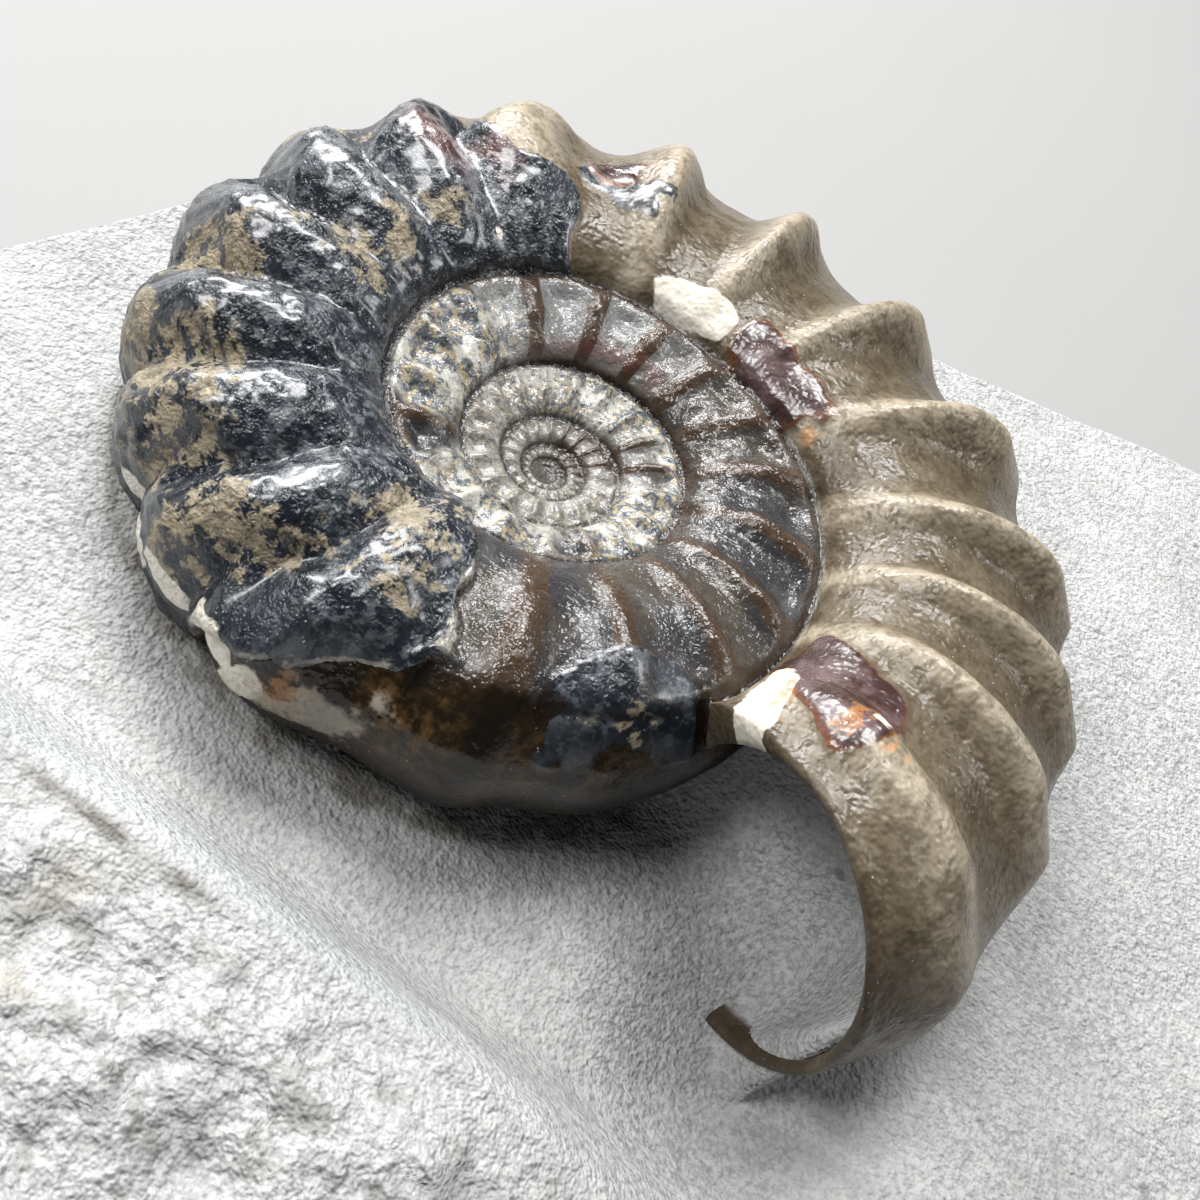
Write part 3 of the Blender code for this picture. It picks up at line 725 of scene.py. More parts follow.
def carve_shell(mesh, coil, dark_layer):
    """Raises the layers and patches, cuts the seams, and keeps their fields for the material, in mm."""
    places, normals = vectors(mesh, "co"), vectors(mesh, "normal")
    turn, section = read(mesh, "turn"), read(mesh, "section")
    size = coil.growth(turn)
    outermost = turn < LAST_OUTER_TURN
    free = (read(mesh, "on axis") < 0.5) & (turn > 0.3)
    ragged, fine, broad = uneven(places, 2.2, 4), uneven(places, 0.9, 3, 31.0), uneven(places, 6.0, 3, 57.0)

    radius = coil.centre * size + coil.half_width * size * np.cos(np.radians(section))
    mm_per_degree = np.radians(1.0) * radius * 1000.0
    from_start = (turn - curve(DARK_START, section)) * mm_per_degree
    from_end = (curve(DARK_END, section) - turn) * mm_per_degree + 0.7 * ragged
    dark = np.clip(np.minimum(from_start, from_end), FAR_OUTSIDE, -FAR_OUTSIDE) + 0.25 * ragged
    fields = {
        label: patch_field(coil, patches, turn, section) + edge * ragged
        for label, (edge, patches) in PATCHES.items()
    }
    fields["calcite"] += 0.1 * fine
    fields["tan area"] += 0.8 * broad

    to_outer = np.where(turn > 330.0, section - coil.outer_seam(turn), 90.0)
    seam = np.minimum(np.abs(coil.own_seam(turn) - section), np.abs(to_outer))
    seam *= np.radians(1.0) * coil.half_height * size * 1000.0
    groove = -0.32 * np.exp(-((seam / 0.45) ** 2)) * np.clip(size * 1.3, 0.2, 1.0)
    groove = np.where(turn < 2.0, 0.0, groove)

    # The outer whorl: the dark layer, the patches, crumples, the rim's band and cracks
    lip = np.exp(-((np.maximum(from_end, 0.0) / 3.2) ** 2))
    lip += 0.3 * np.exp(-((np.maximum(from_start, 0.0) / 1.6) ** 2))
    lift = dark_layer * 1000.0 * smooth(dark / 0.35 + 0.5) * np.minimum(lip, 1.0)
    lift += 0.18 * smooth(fields["blue patch"] / 0.3 + 0.5) * outermost
    lift += 0.036 * smooth(fields["calcite"] / 0.2 + 0.5) + 0.20 * smooth(fields["brown flake"] / 0.3 + 0.5)
    inside_dark = smooth(dark / 0.8)
    lift += inside_dark * (0.10 * fine + 0.20 * np.abs(ragged) - 0.12) * outermost
    lift += (1.0 - inside_dark) * 0.05 * ragged
    lift += (0.10 * fine + 0.08 * ragged) * smooth((14.0 - turn) / 6.0) * smooth((turn - 0.3) / 3.0)
    cracks = np.abs(uneven(places, 5.0, 2, 83.0))
    lift -= inside_dark * 0.12 * np.exp(-((cracks / 0.018) ** 2)) * outermost

    inner = smooth((turn - 355.0) / 40.0)
    lift = lift * (1.0 - inner * 0.3) + inner * size * (0.30 * ragged + 0.16 * fine)
    wall = (read(mesh, "stand out") <= -0.99 * coil.wall) & (turn < HOLLOW_END + 1.0)
    outward = np.where(free & ~wall, (lift + groove) / 1000.0, 0.0) * smooth((turn - 0.3) / 2.0)
    low, high = (np.array(corner) for corner in CAD_BOUNDS)
    places = np.clip(places + normals * outward[:, None], low + BOX_MARGIN, high - BOX_MARGIN)
    mesh.vertices.foreach_set("co", places.astype(np.float32).ravel())

    fields.update({"dark shell": dark, "dark end": from_end})
    for label in ("dark shell", "dark end", "blue patch"):
        fields[label] = np.where(outermost, fields[label], FAR_OUTSIDE)
    fields.update({"seam": seam, "wall": wall})
    for label, values in fields.items():
        write(mesh, label, values)
    for label in ("stand out", "fullness", "inner half-width", "fixed height", "on axis"):
        mesh.attributes.remove(mesh.attributes[label])
    mesh.update()


class ShaderMaker(NodeMaker):
    """The nodes that the fossil's finishes are made of."""

    def noise(self, vector, scale, detail, roughness=0.55):
        inputs = {"Vector": vector, "Scale": scale, "Detail": detail, "Roughness": roughness}
        return self.put("ShaderNodeTexNoise", inputs)

    def stretched(self, vector, scale, turned):
        return self.put("ShaderNodeMapping", {"Vector": vector, "Scale": scale, "Rotation": turned})

    def step(self, value, low, high, to_low=0.0, to_high=1.0):
        """Smooth step of a value between two limits."""
        inputs = dict(enumerate((value, low, high, to_low, to_high)))
        return self.put("ShaderNodeMapRange", inputs, interpolation_type="SMOOTHSTEP")

    def mix(self, factor, first, second):
        return self.put("ShaderNodeMix", {0: factor, 6: first, 7: second}, 2, data_type="RGBA")

    def blend(self, factor, first, second):
        return self.put("ShaderNodeMix", {0: factor, 2: first, 3: second}, data_type="FLOAT")

    def layered(self, base, *layers):
        """A colour with (mask, colour) layers over it, the lowest first."""
        for mask, layer in layers:
            base = self.mix(mask, base, layer)
        return base

    def most(self, value, *others):
        for other in others:
            value = self.math("MAXIMUM", value, other)
        return value

    def field(self, label):
        return self.put("ShaderNodeAttribute", output="Fac", attribute_name=label)

    def place(self):
        return self.put("ShaderNodeTexCoord", output="Object")

    def use(self, name, **values):
        inputs = {label.capitalize(): value for label, value in values.items()}
        return self.put("ShaderNodeGroup", inputs, node_tree=bpy.data.node_groups[name])

    def finish(self, base, roughness, height=None, **others):
        """The surface shader. The height of its bump is in mm."""
        inputs = {"Base Color": base, "Roughness": roughness, "IOR": STONE_IOR}
        inputs.update((label.replace("_", " "), value) for label, value in others.items())
        if height is not None:
            inputs["Normal"] = self.put("ShaderNodeBump", {"Distance": 0.001, "Height": height})
        self.put("ShaderNodeOutputMaterial", {0: self.put("ShaderNodeBsdfPrincipled", inputs)})


def new_group(name, **inputs):
    """A shader node group that gives a mask."""
    tree = bpy.data.node_groups.new(name, "ShaderNodeTree")
    for label, kind in inputs.items():
        tree.interface.new_socket(label, in_out="INPUT", socket_type="NodeSocket" + kind)
    tree.interface.new_socket("Mask", in_out="OUTPUT", socket_type="NodeSocketFloat")
    m = ShaderMaker(tree)
    return m, m.given()


def make_groups():
    """The effects that more than one finish uses."""
    m, given = new_group("Ragged patch", Field="Float", Noise="Float", Raggedness="Float", Softness="Float")
    edge = given["Field"] + (given["Noise"] - 0.5) * given["Raggedness"]
    m.put("NodeGroupOutput", {"Mask": m.step(edge, given["Softness"] * -1.0, given["Softness"])})

    m, given = new_group("Sparse specks", Vector="Vector", Scale="Float", Amount="Float", Where="Float")
    near = m.put("ShaderNodeTexVoronoi", {"Vector": given["Vector"], "Scale": given["Scale"]})
    speck = m.step(near, given["Amount"] * 2.0, given["Amount"])
    m.put("NodeGroupOutput", {"Mask": speck * m.step(given["Where"], 0.5, 0.62)})


def new_material(name):
    material = bpy.data.materials.new(name)
    material.use_nodes = True
    material.node_tree.nodes.clear()
    return material, ShaderMaker(material.node_tree)


def shaded(shade, factor):
    return tuple(min(1.0, part * factor) for part in shade)


def shell_material(look):
    material, m = new_material("fossil_shell")
    place = m.place()
    along = m.put("ShaderNodeUVMap", uv_map="Growth")
    section = m.put("ShaderNodeSeparateXYZ", {0: along}, 1)
    crest, whorl, seam = m.field("crest"), m.field("whorl"), m.field("seam")
    fine, medium = m.noise(place, 1500.0, 2.0, 0.7), m.noise(place, 420.0, 3.0, 0.65)
    broad = m.noise(place, 170.0, 1.0)
    streaky = m.noise(m.stretched(along, (26.0, 9.0, 1.0), (0.0, 0.0, 0.4)), 1.0, 3.0, 0.74)

    def patch(label, noise, raggedness, softness):
        field = m.field(label)
        return m.use("Ragged patch", field=field, noise=noise, raggedness=raggedness, softness=softness)

    # Brown cast of the outer whorl, with a painted highlight on the rib crests, painted shade in the troughs
    # between the ribs, and darker brown towards its underside, at the rim and in streaks
    by_rim = m.step(whorl, 0.045, 0.015) * m.step(section, 1.0, 0.1)
    cast = m.layered(
        look.cast_brown,
        # Painted highlight: paler brown along the rib crests
        (m.step(crest * 0.8 + medium * 0.5, 0.40, 1.05), look.cast_crest_highlight),
        # Painted shade: darker brown in the troughs between the ribs
        (m.step(0.30 - crest + (medium - 0.5) * 0.9, 0.0, 0.5) * 0.6, look.cast_dark_brown_and_shade),
        (m.step(section + (broad - 0.5) * 0.5, 0.15, -0.30) * 0.6, look.cast_dark_brown_and_shade),
        (by_rim * m.step(medium, 0.40, 0.60, 0.25, 0.85), look.cast_dark_brown_and_shade),
        (m.step(streaky * 0.5 + fine * 0.5, 0.56, 0.40, 0.0, 0.5), look.cast_dark_brown_and_shade),
    )

    # Slate panels and brown ribs of the inner whorls
    on_top = m.step(whorl, 1.26, 1.36) * m.step(whorl, 1.62, 1.54)
    panel = m.layered(
        look.slate,
        (m.step(broad, 0.44, 0.60), (0.058, 0.048, 0.038)),
        (m.step(medium, 0.50, 0.72, 0.0, 0.3), (0.15, 0.155, 0.165)),
        (on_top * 0.7, (0.24, 0.24, 0.235)),
        (m.step(whorl, 2.0, 2.4, 0.0, 0.7), (0.30, 0.285, 0.255)),
    )
    on_rib = m.most(m.step(crest + (medium - 0.5) * 0.4, 0.52, 0.70), m.step(seam + medium * 0.5, 0.95, 0.45))
    rib_brown = m.mix(medium, (0.024, 0.014, 0.009), (0.090, 0.058, 0.037))

    # Mottle of the coil's left side and of its oldest whorls
    mottle = m.layered(
        (0.11, 0.13, 0.15),
        (m.step(streaky, 0.49, 0.55), shaded(look.tan, 1.25)),
        (m.step(medium, 0.50, 0.57, 0.0, 0.75), (0.58, 0.57, 0.52)),
        (m.step(streaky, 0.42, 0.36, 0.0, 0.8), (0.030, 0.020, 0.014)),
        (m.step(whorl, 2.3, 2.7, 0.0, 0.5), panel),
    )
    mottle_share = m.step(whorl, 1.44, 1.56) * m.step(broad, 0.30, 0.44) * 0.85
    inner = m.layered(panel, (on_rib, rib_brown), (mottle_share, mottle))

    # Very dark glossy front
    clouds = patch("orange cloud", medium, 2.6, 0.9) * m.step(fine, 0.42, 0.66, 0.04, 0.42)
    dome = m.layered(
        look.dome_brown, (m.step(medium, 0.35, 0.7), (0.020, 0.011, 0.004)), (clouds, (0.20, 0.105, 0.028))
    )
    dome_limit = (medium - 0.5) * 0.3 + section
    on_dome = m.step(dome_limit, 0.66, 0.54) * m.step(whorl, 0.76, 0.79) * m.step(whorl, 1.004, 1.001)

    # Thick dark shell. Its silver is partly real pale flakes and partly painted sheen, laid on more towards
    # the top of the whorl
    # Painted sheen: more silver towards the top of the whorl, in streaks that are also real flakes
    silver_and_sheen_share = m.step(section, 0.15, 0.75) * 0.42 + 0.08
    silver_and_sheen_share = silver_and_sheen_share * m.step(streaky * 0.55 + fine * 0.5, 0.51, 0.62)
    tan_level = m.step(m.field("tan area"), -1.2, 1.6, 0.64, 0.475)
    tan_mask = m.step(streaky * 0.5 + m.blend(0.4, medium, fine) * 0.5 - tan_level, -0.012, 0.03)
    edge = m.math("ABSOLUTE", m.field("dark end") - (fine - 0.35) * 1.2)
    chipped = m.step(edge, 0.42, 0.12) * m.step(medium, 0.44, 0.56)
    shell = m.layered(
        look.dark_shell,
        (m.step(medium, 0.42, 0.7), (0.030, 0.037, 0.047)),
        (silver_and_sheen_share, look.silver_flake_and_sheen),
        (tan_mask * 0.92, m.mix(m.step(fine, 0.35, 0.65), shaded(look.tan, 0.5), look.tan)),
        (chipped * 0.8, (0.30, 0.28, 0.235)),
    )
    shell_mask = m.most(patch("dark shell", fine, 0.5, 0.05), patch("blue patch", medium, 1.6, 0.06) * 0.9)

    # Everything, from the lowest layer up
    is_inner = m.step(whorl, 0.862, 0.868)
    front_panels = m.step(whorl, 0.80, 0.83) * m.step(dome_limit, 0.52, 0.62)
    flake = patch("brown flake", medium, 0.9, 0.05)
    calcite = patch("calcite", medium, 0.5, 0.06)
    dust = m.use("Sparse specks", vector=place, scale=2300.0, amount=0.07, where=medium)
    seam_dark = m.step(seam, 0.35, 0.05)
    # Dark crust and painted shade low on the shell's underside, where it meets the stone
    underside_crust_and_shade = m.step(section + (fine - 0.5) * 0.5, -0.10, -0.38, 0.0, 0.85) * m.step(whorl, 0.42, 0.46)
    lining = m.field("wall") * m.step(whorl, 0.004, 0.007)
    stone = m.mix(m.step(fine, 0.34, 0.62), (0.25, 0.25, 0.245), (0.46, 0.46, 0.45))
    base = m.layered(
        cast,
        (m.most(is_inner, front_panels), inner),
        (on_dome, dome),
        (shell_mask, shell),
        (patch("maroon", medium, 1.8, 0.6) * 0.55, (0.17, 0.070, 0.058)),
        (flake, m.mix(m.step(medium, 0.42, 0.66), look.flake_brown, (0.13, 0.085, 0.085))),
        (flake * m.step(m.field("brown flake"), 0.30, 0.05) * 0.55, (0.20, 0.075, 0.025)),
        (calcite, m.mix(m.step(fine, 0.4, 0.7), look.calcite, (0.60, 0.55, 0.44))),
        (patch("amber", fine, 2.2, 0.2) * 0.6, look.amber),
        (patch("milky", m.blend(0.5, medium, fine), 3.2, 0.4) * 0.75, (0.40, 0.36, 0.29)),
        (dust * 0.6, (0.62, 0.58, 0.5)),
        (seam_dark * m.step(whorl, 0.01, 0.03, 0.0, 0.75), (0.012, 0.010, 0.009)),
        (underside_crust_and_shade, (0.016, 0.012, 0.008)),
        (lining, stone),
    )

    # Gloss
    on_front = m.step(whorl, 0.50, 0.56) * m.step(whorl, 1.004, 1.001)
    low_front = m.step(dome_limit, 0.22, -0.30) * on_front
    dull = m.most(calcite, shell_mask * tan_mask)
    glossy = m.most(on_dome, flake, is_inner)
    rough = m.blend(glossy, m.step(fine, 0.3, 0.7, 0.24, 0.44), m.step(fine, 0.3, 0.7, 0.14, 0.30))
    rough = m.blend(shell_mask, rough, m.step(medium, 0.3, 0.7, 0.24, 0.42))
    rough = m.blend(m.most(lining, low_front), m.blend(dull, rough, 0.5), 0.8)
    uncoated = m.most(dull * 0.85, low_front, seam_dark)
    coat = m.most(flake * 0.5, is_inner * 0.26, shell_mask) * (1.0 - uncoated)

    # Relief, in mm: folds in the dark shell and the panels, grain everywhere, and crust low on the front
    folded = m.most(m.step(m.field("dark shell"), -0.1, 0.1), m.step(whorl, 0.82, 0.87))
    inward = m.step(whorl, 0.80, 0.90)
    smooth_front = m.step(section, 0.62, 0.54) * inward
    folds = m.math("ABSOLUTE", m.noise(place, 820.0, 3.0, 0.66) - 0.5)
    fold_depth = folded * m.blend(inward, 0.62, 0.32) * m.blend(smooth_front, 1.0, 0.25)
    crust = m.step(section, 0.10, -0.30) * on_front
    grain_depth = m.blend(crust, m.blend(m.most(folded, smooth_front), 0.12, 0.05), 0.40)
    height = fold_depth * folds + m.noise(place, 1900.0, 1.0, 0.72) * grain_depth
    m.finish(base, rough, height, Coat_Weight=coat, Coat_Roughness=0.22, IOR=SHELL_IOR)
    return material


def limestone_material(look):
    material, m = new_material("pale_limestone")
    place, rough_zone = m.place(), m.field("unprepared")
    broad, medium = m.noise(place, 80.0, 3.0, 0.64), m.noise(place, 420.0, 3.0, 0.66)
    streaks = m.noise(m.stretched(place, (160.0, 900.0, 400.0), (0.0, 0.0, 0.95)), 1.0, 2.0, 0.65)
    grain = m.noise(place, 2600.0, 2.0, 0.75)
    specks = m.use("Sparse specks", vector=place, scale=230.0, amount=0.05, where=medium)
    stains = m.use("Ragged patch", field=(broad - 0.61) * 8.0, noise=medium, raggedness=1.4, softness=0.25)
    base = m.layered(
        look.dark,
        (m.step(grain, 0.34, 0.62), look.pale),
        (m.step(broad, 0.35, 0.7, 0.0, 0.40), (0.58, 0.58, 0.565)),
        (m.step(streaks, 0.60, 0.38, 0.0, 0.30), (0.33, 0.335, 0.33)),
        # Painted shade: the stone darker up the bowl under the aperture's overhanging whorl
        (m.step(m.field("hollow"), 0.05, 1.0, 0.0, 0.45), (0.22, 0.225, 0.22)),
        (specks * 0.6, (0.09, 0.09, 0.09)),
        (m.step(medium, 0.46, 0.34) * (rough_zone * 0.45 + 0.12), (0.17, 0.165, 0.155)),
        (stains * rough_zone * 0.40, look.stain),
        (m.field("grey band") * 0.35, (0.36, 0.385, 0.41)),
        # Painted shadow along the shell's foot, and a dark brown line at the bank's crest
        (m.field("dark line") * m.step(medium, 0.36, 0.56, 0.25, 0.9), (0.075, 0.060, 0.040)),
        (m.step(m.field("side"), 0.1, 0.8) * m.step(broad, 0.4, 0.65, 0.1, 0.45), (0.30, 0.28, 0.235)),
    )
    height = m.noise(place, 560.0, 2.0, 0.68) * m.blend(rough_zone, 0.24, 0.75)
    height = height + m.noise(place, 2700.0, 1.0, 0.8) * 0.24
    m.finish(base, m.step(grain, 0.3, 0.7, 0.70, 0.90), height)
    return material


# The block


def outline_radius(direction):
    """From the coil's axis to the block's side, at many directions."""
    corners = sorted((math.degrees(math.atan2(y, x)) % 360.0, math.hypot(x, y)) for x, y in BLOCK_OUTLINE)
    closed = [(a - 360.0, r) for a, r in corners[-2:]] + corners + [(a + 360.0, r) for a, r in corners[:3]]
    return curve(closed, direction % 360.0)


def lumps(x, y):
    broad = np.sin(310.0 * x + 1.7) * np.cos(270.0 * y + 0.4)
    slanted = np.sin(430.0 * x - 520.0 * y + 0.6) * np.cos(210.0 * x + 350.0 * y)
    return 0.5 * broad + 0.5 * slanted


def past_rim(x, y):
    """Turn angle of a place, from -180 to 180."""
    return (np.degrees(np.arctan2(y, x)) - RIM_ANGLE + 180.0) % 360.0 - 180.0


def hollow_share(coil, x, y):
    """How far a place is up the bowl of stone inside the aperture, and the height of the roof over it."""
    turn = past_rim(x, y)
    size = coil.growth(np.minimum(turn, HOLLOW_END))
    off_centre = np.hypot(x, y) - coil.centre * size
    middle = 0.97 * coil.wall
    wall_share = np.abs(off_centre) / ((coil.half_width - middle) * size)
    inside = (turn >= FILL_START) & (turn <= FILL_END) & (wall_share < 1.0)
    roof = (coil.half_height - middle) * size * np.sqrt(1.0 - np.clip(wall_share, 0.0, 1.0) ** 2)
    across = np.where(off_centre > 0.0, off_centre, -0.6 * off_centre)
    across = across / ((coil.half_width - coil.wall) * size)
    by_wall = np.clip((across - 0.45) / 0.55, 0.0, 1.0) * smooth((turn - FILL_START) / 4.0)
    bowl = ((np.clip(turn, 0.0, 99.0) / HOLLOW_END) ** 2 + by_wall**2) ** 1.5
    return np.where(inside, bowl, 0.0), roof


def stone_top(coil, x, y):
    """Height of the block's top over the mid-plane, how unprepared it is, and how far inside the hollow."""
    at_aperture = np.exp(-((past_rim(x, y) / 55.0) ** 2)) * smooth(np.hypot(x, y) / 0.02)
    level = DISH_LEVEL + (DISH_AT_APERTURE - DISH_LEVEL) * at_aperture
    fade = 1.0 - smooth((x - BANK_FADE[0]) / (BANK_FADE[1] - BANK_FADE[0]))
    slope = smooth((BANK_CREST + BANK_FOOT - y) / BANK_FOOT)
    beyond = smooth((BANK_CREST - y) / 0.004)
    rough = 0.0009 * lumps(x, y) * beyond * (0.35 + 0.65 * fade) + 0.00012 * lumps(x, y)
    floor = level + BANK_RISE * slope * fade + rough
    bowl, roof = hollow_share(coil, x, y)
    from_tip = np.hypot(x - TIP_PLACE[0], y - TIP_PLACE[1])
    floor = floor - TIP_DIP * np.exp(-((from_tip / TIP_DIP_SPREAD) ** 2))
    raised = np.where(bowl > 0.0, np.maximum(floor, np.minimum(roof, floor + FILL_RISE * bowl)), floor)
    return raised, beyond * (0.25 + 0.75 * fade), np.clip(bowl, 0.0, 1.0)


def stone_mesh(coil, look):
    """The block as rings: over its top, round its edge, down its broken sides and across its base."""
    count = BLOCK_DIRECTIONS
    directions = np.arange(count) * 360.0 / count
    cosine, sine = np.cos(np.radians(directions)), np.sin(np.radians(directions))
    outline = outline_radius(directions)
    rings, fields = [], []

    def ring(x, y, height, unprepared=1.0, hollow=0.0, side=1.0):
        flat = np.zeros(count)
        rings.append(np.stack([x, y, height + flat], axis=1))
        fields.append(np.stack([unprepared + flat, hollow + flat, side + flat]))

    steps = int((outline.max() - HIDDEN_RADIUS) / TOP_RING_SPACING)
    radii = [HIDDEN_RADIUS * (step + 1) / SHADED_RINGS for step in range(SHADED_RINGS)]
    shares = [step / steps * TOP_SHARE for step in range(1, steps + 1)]
    radii += [HIDDEN_RADIUS + (outline - HIDDEN_RADIUS) * share for share in shares]
    for radius in radii:
        x, y = radius * cosine, radius * sine
        height, unprepared, bowl = stone_top(coil, x, y)
        ring(x, y, height + MID_PLANE, unprepared, bowl, 0.0)
    x, y = outline * cosine, outline * sine
    angle = np.arctan2(y, x)
    rim_height = stone_top(coil, x, y)[0] + MID_PLANE - look.edge_rounding
    for step in range(SIDE_RINGS):
        height = rim_height * (1.0 - step / (SIDE_RINGS - 1) * TOP_SHARE)
        wave = np.sin(5.0 * angle + 260.0 * height) + 0.7 * np.sin(11.0 * angle - 150.0 * height + 1.0)
        out = 1.0 + look.break_depth * wave / outline
        ring(x * out, y * out, height)
    ring(BASE_SHRINK * x, BASE_SHRINK * y, 0.0)

    places = np.concatenate(rings + [[[0.0, 0.0, MID_PLANE + HIDDEN_LEVEL], [0.0, 0.0, 0.0]]])
    unprepared, hollows, sides = np.concatenate(fields + [[[0.0, 1.0]] * 3], axis=1)
    faces = []
    top, base = len(places) - 2, len(places) - 1
    end = (len(rings) - 1) * count
    for i in range(count):
        j = (i + 1) % count
        faces.append((top, i, j))
        faces.append((base, end + j, end + i))
        for start in range(0, end, count):
            faces.append((start + i, start + count + i, start + count + j, start + j))
    return places, faces, unprepared, hollows, sides


def roughen_stone(places, unprepared, hollows, sides):
    """Chips, pits and ridges of the real stone, over the smooth form."""
    visible = np.hypot(places[:, 0], places[:, 1]) > HIDDEN_RADIUS - 0.0005
    coarse = np.where(visible, uneven(places, 7.0, 4, 11.0), 0.0)
    small = np.where(visible, uneven(places, 1.8, 3, 23.0), 0.0)
    up = (0.05 + 0.85 * unprepared) * coarse + (0.06 + 0.26 * unprepared) * small
    lines = np.abs(uneven(places * (1.0, 2.2, 1.0), 9.0, 2, 5.0))
    up -= 0.45 * unprepared * np.exp(-((lines / 0.05) ** 2))
    places[:, 2] += up * (1.0 - sides) / 1000.0 * np.where(hollows > 0.02, 0.4, 1.0)
    radius = np.hypot(places[:, 0], places[:, 1])
    ledges = np.where(sides > 0.5, uneven(places * (1.0, 1.0, 2.6), 6.0, 4, 41.0), 0.0)
    base_fade = np.where(sides > 0.5, smooth(places[:, 2] / 0.003), 0.0)
    scale = 1.0 + (0.9 * ledges + 0.25 * small) * base_fade / 1000.0 / np.maximum(radius, 0.01)
    places[:, :2] *= scale[:, None]
    return places


def dark_lines(coil, places, sides):
    """Dark marks on the stone: painted shadow along the shell's foot, and a dark brown line at the right end
    of the bank's crest.
    """
    x, y = places[:, 0], places[:, 1]
    turn = (np.degrees(np.arctan2(y, x)) - RIM_ANGLE) % 360.0
    foot = (coil.centre + 0.93 * coil.half_width) * coil.growth(turn) * 1000.0
    gap = np.hypot(x, y) * 1000.0 - foot
    # Painted shadow along the shell's foot
    foot_shadow = 0.8 * np.exp(-((np.maximum(gap, 0.0) / 0.5) ** 2)) * (turn > FILL_END) * (gap > -4.0)
    by_bank = np.exp(-(((y - BANK_CREST) * 1000.0 + 0.3) / 0.35) ** 2)
    by_bank *= smooth((0.006 - np.abs(x + 0.004)) / 0.003)
    return np.where(sides > 0.5, 0.0, np.clip(foot_shadow + by_bank, 0.0, 1.0))


class FOSSIL_OT_add_ammonite(bpy.types.Operator):
    """Winds the ribbed shell, carves its layers and gives it its finish"""

    bl_idname = "fossil.add_ammonite"
    bl_label = "Ammonite"

    def execute(self, context):
        look = context.scene.ammonite
        coil = Coil(look)
        sheet = whorl_sheet(coil)
        piece = sheet_object("ribbed_ammonite", sheet, coil)
        tree = winding_tree(shell_material(look))
        sizes = (coil.expansion, coil.centre, coil.half_width, coil.half_height, RIM_ANGLE, MID_PLANE)
        values = dict(zip(WINDING_SIZES, sizes))
        values["Coil centre"] = (*COIL_CENTRE, 0.0)
        mesh = made_plain(piece, tree, values)
        face_outward(mesh)
        carve_shell(mesh, coil, look.dark_layer)
        mesh.shade_smooth()
        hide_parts("ammonite")
        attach(piece, "root")
        return {"FINISHED"}


class FOSSIL_OT_add_limestone(bpy.types.Operator):
    """Builds the block of limestone with its dish, bank and broken sides"""

    bl_idname = "fossil.add_limestone"
    bl_label = "Limestone"

    def execute(self, context):
        look = context.scene.limestone
        coil = Coil(context.scene.ammonite)
        places, faces, unprepared, hollows, sides = stone_mesh(coil, look)
        crest_distance = (places[:, 1] - BANK_CREST) * 1000.0
        left = 1.0 - smooth((places[:, 0] - 0.004) / 0.02)
        band = np.exp(-(((crest_distance - 1.6) / 1.5) ** 2)) * left
        dark_line = dark_lines(coil, places, sides)
        places = roughen_stone(places, unprepared, hollows, sides)
        places += (*COIL_CENTRE, 0.0)
        places = np.clip(places, *(np.array(corner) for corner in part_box("limestone_matrix")))
        mesh = bpy.data.meshes.new("limestone_block")
        mesh.from_pydata(places.tolist(), [], faces)
        for label, values in (
            ("unprepared", unprepared), ("hollow", hollows), ("side", sides), ("grey band", band),
            ("dark line", dark_line),
        ):
            write(mesh, label, values)
        face_outward(mesh)
        mesh.shade_smooth()
        mesh.materials.append(limestone_material(look))
        piece = bpy.data.objects.new("limestone_block", mesh)
        context.scene.collection.objects.link(piece)
        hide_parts("limestone_matrix")
        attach(piece, "root")
        return {"FINISHED"}


def face_outward(mesh):
    """Turns every face of a closed mesh outward."""
    work = bmesh.new()
    work.from_mesh(mesh)
    bmesh.ops.recalc_face_normals(work, faces=work.faces)
    work.to_mesh(mesh)
    work.free()
    mesh.update()


def area_light(name, place, size, energy):
    light = bpy.data.lights.new(name, "AREA")
    light.shape = "RECTANGLE"
    light.size, light.size_y = size
    light.energy = energy
    holder = bpy.data.objects.new(name, light)
    bpy.context.scene.collection.objects.link(holder)
    holder.location = place
    holder.rotation_euler = (Vector(LIT_PLACE) - Vector(place)).to_track_quat("-Z", "Y").to_euler()


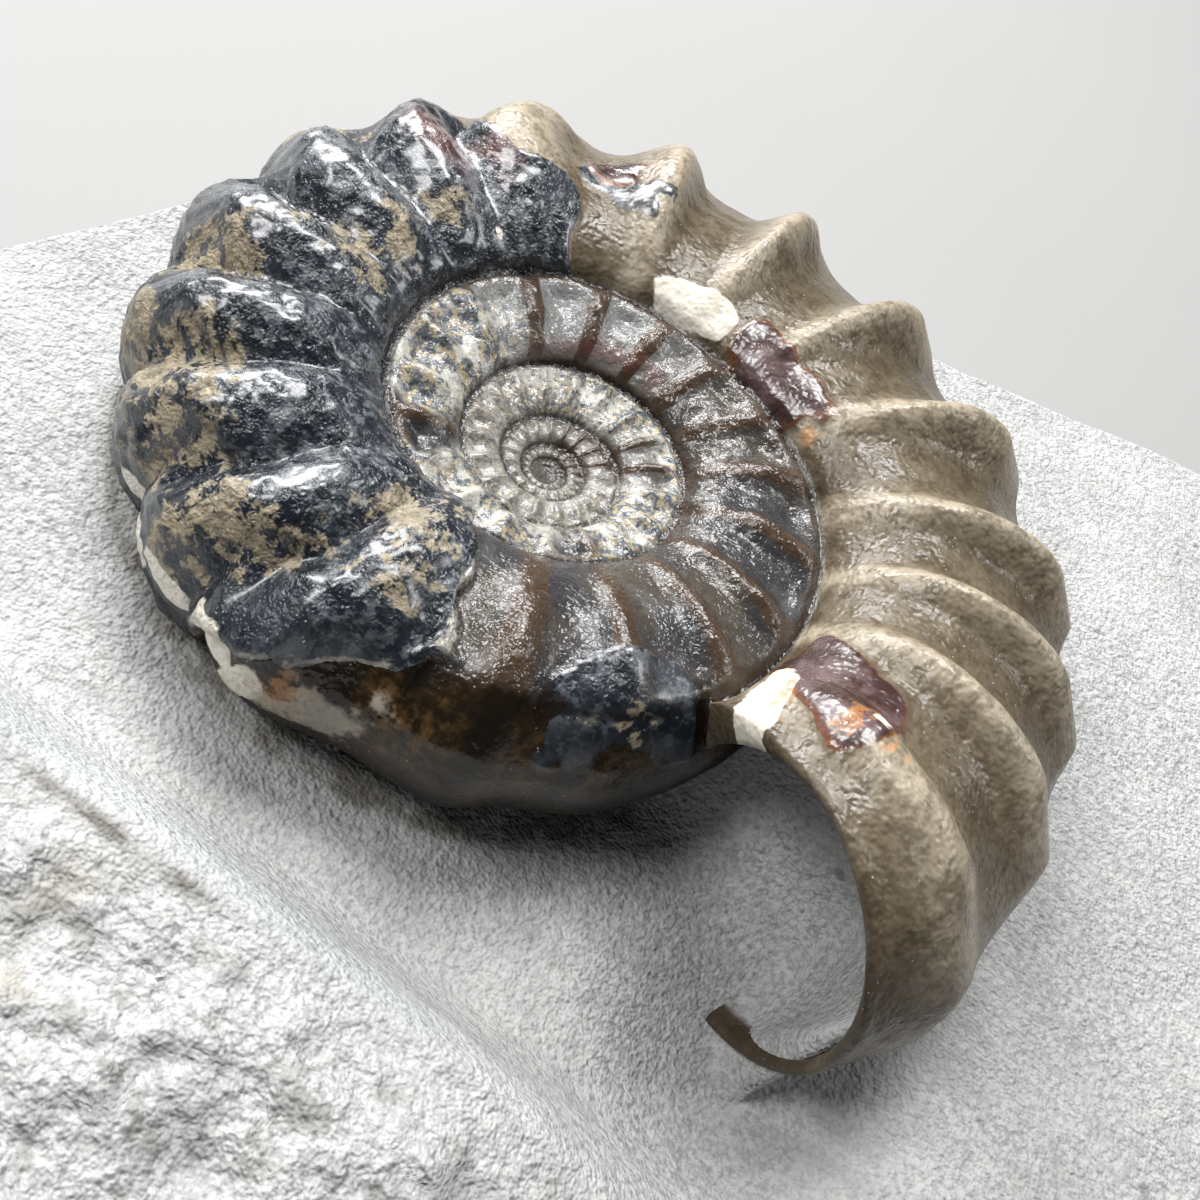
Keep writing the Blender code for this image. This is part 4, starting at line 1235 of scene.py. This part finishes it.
class FOSSIL_OT_add_stage(bpy.types.Operator):
    """Lays the floor and sets the lights and the camera"""

    bl_idname = "fossil.add_stage"
    bl_label = "Stage"

    def execute(self, context):
        stage = context.scene.fossil_stage
        material, m = new_material("plain_floor")
        cloudy = m.noise(m.place(), 30.0, 1.0)
        m.finish(m.mix(cloudy, stage.floor_colour, shaded(stage.floor_colour, 0.97)), 0.8)
        mesh = bpy.data.meshes.new("floor")
        corners = [(x * FLOOR_REACH, y * FLOOR_REACH, 0.0) for x, y in ((-1, -1), (1, -1), (1, 1), (-1, 1))]
        mesh.from_pydata(corners, [], [(0, 1, 2, 3)])
        mesh.materials.append(material)
        floor = bpy.data.objects.new("floor", mesh)
        context.scene.collection.objects.link(floor)

        area_light("overhead", (-0.09, 0.18, 0.42), (0.20, 0.17), stage.key_power)
        area_light("left_top", (-0.30, -0.13, 0.40), (0.17, 0.15), stage.fill_power)
        area_light("right_back", (0.30, 0.18, 0.34), (0.12, 0.12), stage.side_power)
        area_light("left_back", (-0.34, 0.26, 0.22), (0.30, 0.16), stage.back_power)
        world = bpy.data.worlds.new("studio")
        world.use_nodes = True
        background = world.node_tree.nodes["Background"]
        background.inputs["Color"].default_value = (0.80, 0.83, 0.88, 1.0)
        background.inputs["Strength"].default_value = stage.ambient
        context.scene.world = world
        context.scene.view_settings.view_transform = "Standard"
        context.scene.view_settings.look = "None"
        context.scene.cycles.max_bounces = 1
        context.scene.cycles.diffuse_bounces = 1
        context.scene.cycles.glossy_bounces = 1

        camera = bpy.data.cameras.new("camera")
        camera.sensor_width = 36.0
        camera.lens = stage.lens
        camera.clip_start = 0.005
        holder = bpy.data.objects.new("camera", camera)
        context.scene.collection.objects.link(holder)
        tilt = Matrix.Rotation(math.radians(CAMERA_TILT), 4, "X")
        roll = Matrix.Rotation(math.radians(CAMERA_ROLL), 4, "Z")
        holder.matrix_world = Matrix.Translation(CAMERA_PLACE) @ tilt @ roll
        context.scene.camera = holder
        return {"FINISHED"}


class FOSSIL_PT_panel(bpy.types.Panel):
    """The pieces of the fossil, in the order they are made"""

    bl_idname = "FOSSIL_PT_panel"
    bl_label = "Fossil ammonite"
    bl_space_type = "VIEW_3D"
    bl_region_type = "UI"
    bl_category = "Ammonite"

    def draw(self, context):
        scene = context.scene
        for settings, operator in (
            (scene.ammonite, "fossil.add_ammonite"),
            (scene.limestone, "fossil.add_limestone"),
            (scene.fossil_stage, "fossil.add_stage"),
        ):
            box = self.layout.box()
            for key in settings.bl_rna.properties.keys():
                if key not in ("rna_type", "name"):
                    box.prop(settings, key)
            box.operator(operator)


CLASSES = (
    AmmoniteSettings,
    LimestoneSettings,
    StageSettings,
    FOSSIL_OT_add_ammonite,
    FOSSIL_OT_add_limestone,
    FOSSIL_OT_add_stage,
    FOSSIL_PT_panel,
)


def register():
    for kind in CLASSES:
        bpy.utils.register_class(kind)
    bpy.types.Scene.ammonite = PointerProperty(type=AmmoniteSettings)
    bpy.types.Scene.limestone = PointerProperty(type=LimestoneSettings)
    bpy.types.Scene.fossil_stage = PointerProperty(type=StageSettings)


def unregister():
    for name in ("ammonite", "limestone", "fossil_stage"):
        delattr(bpy.types.Scene, name)
    for kind in reversed(CLASSES):
        bpy.utils.unregister_class(kind)


def main():
    register()
    make_groups()
    bpy.ops.fossil.add_ammonite()
    bpy.ops.fossil.add_limestone()
    bpy.ops.fossil.add_stage()


if __name__ == "__main__":
    main()
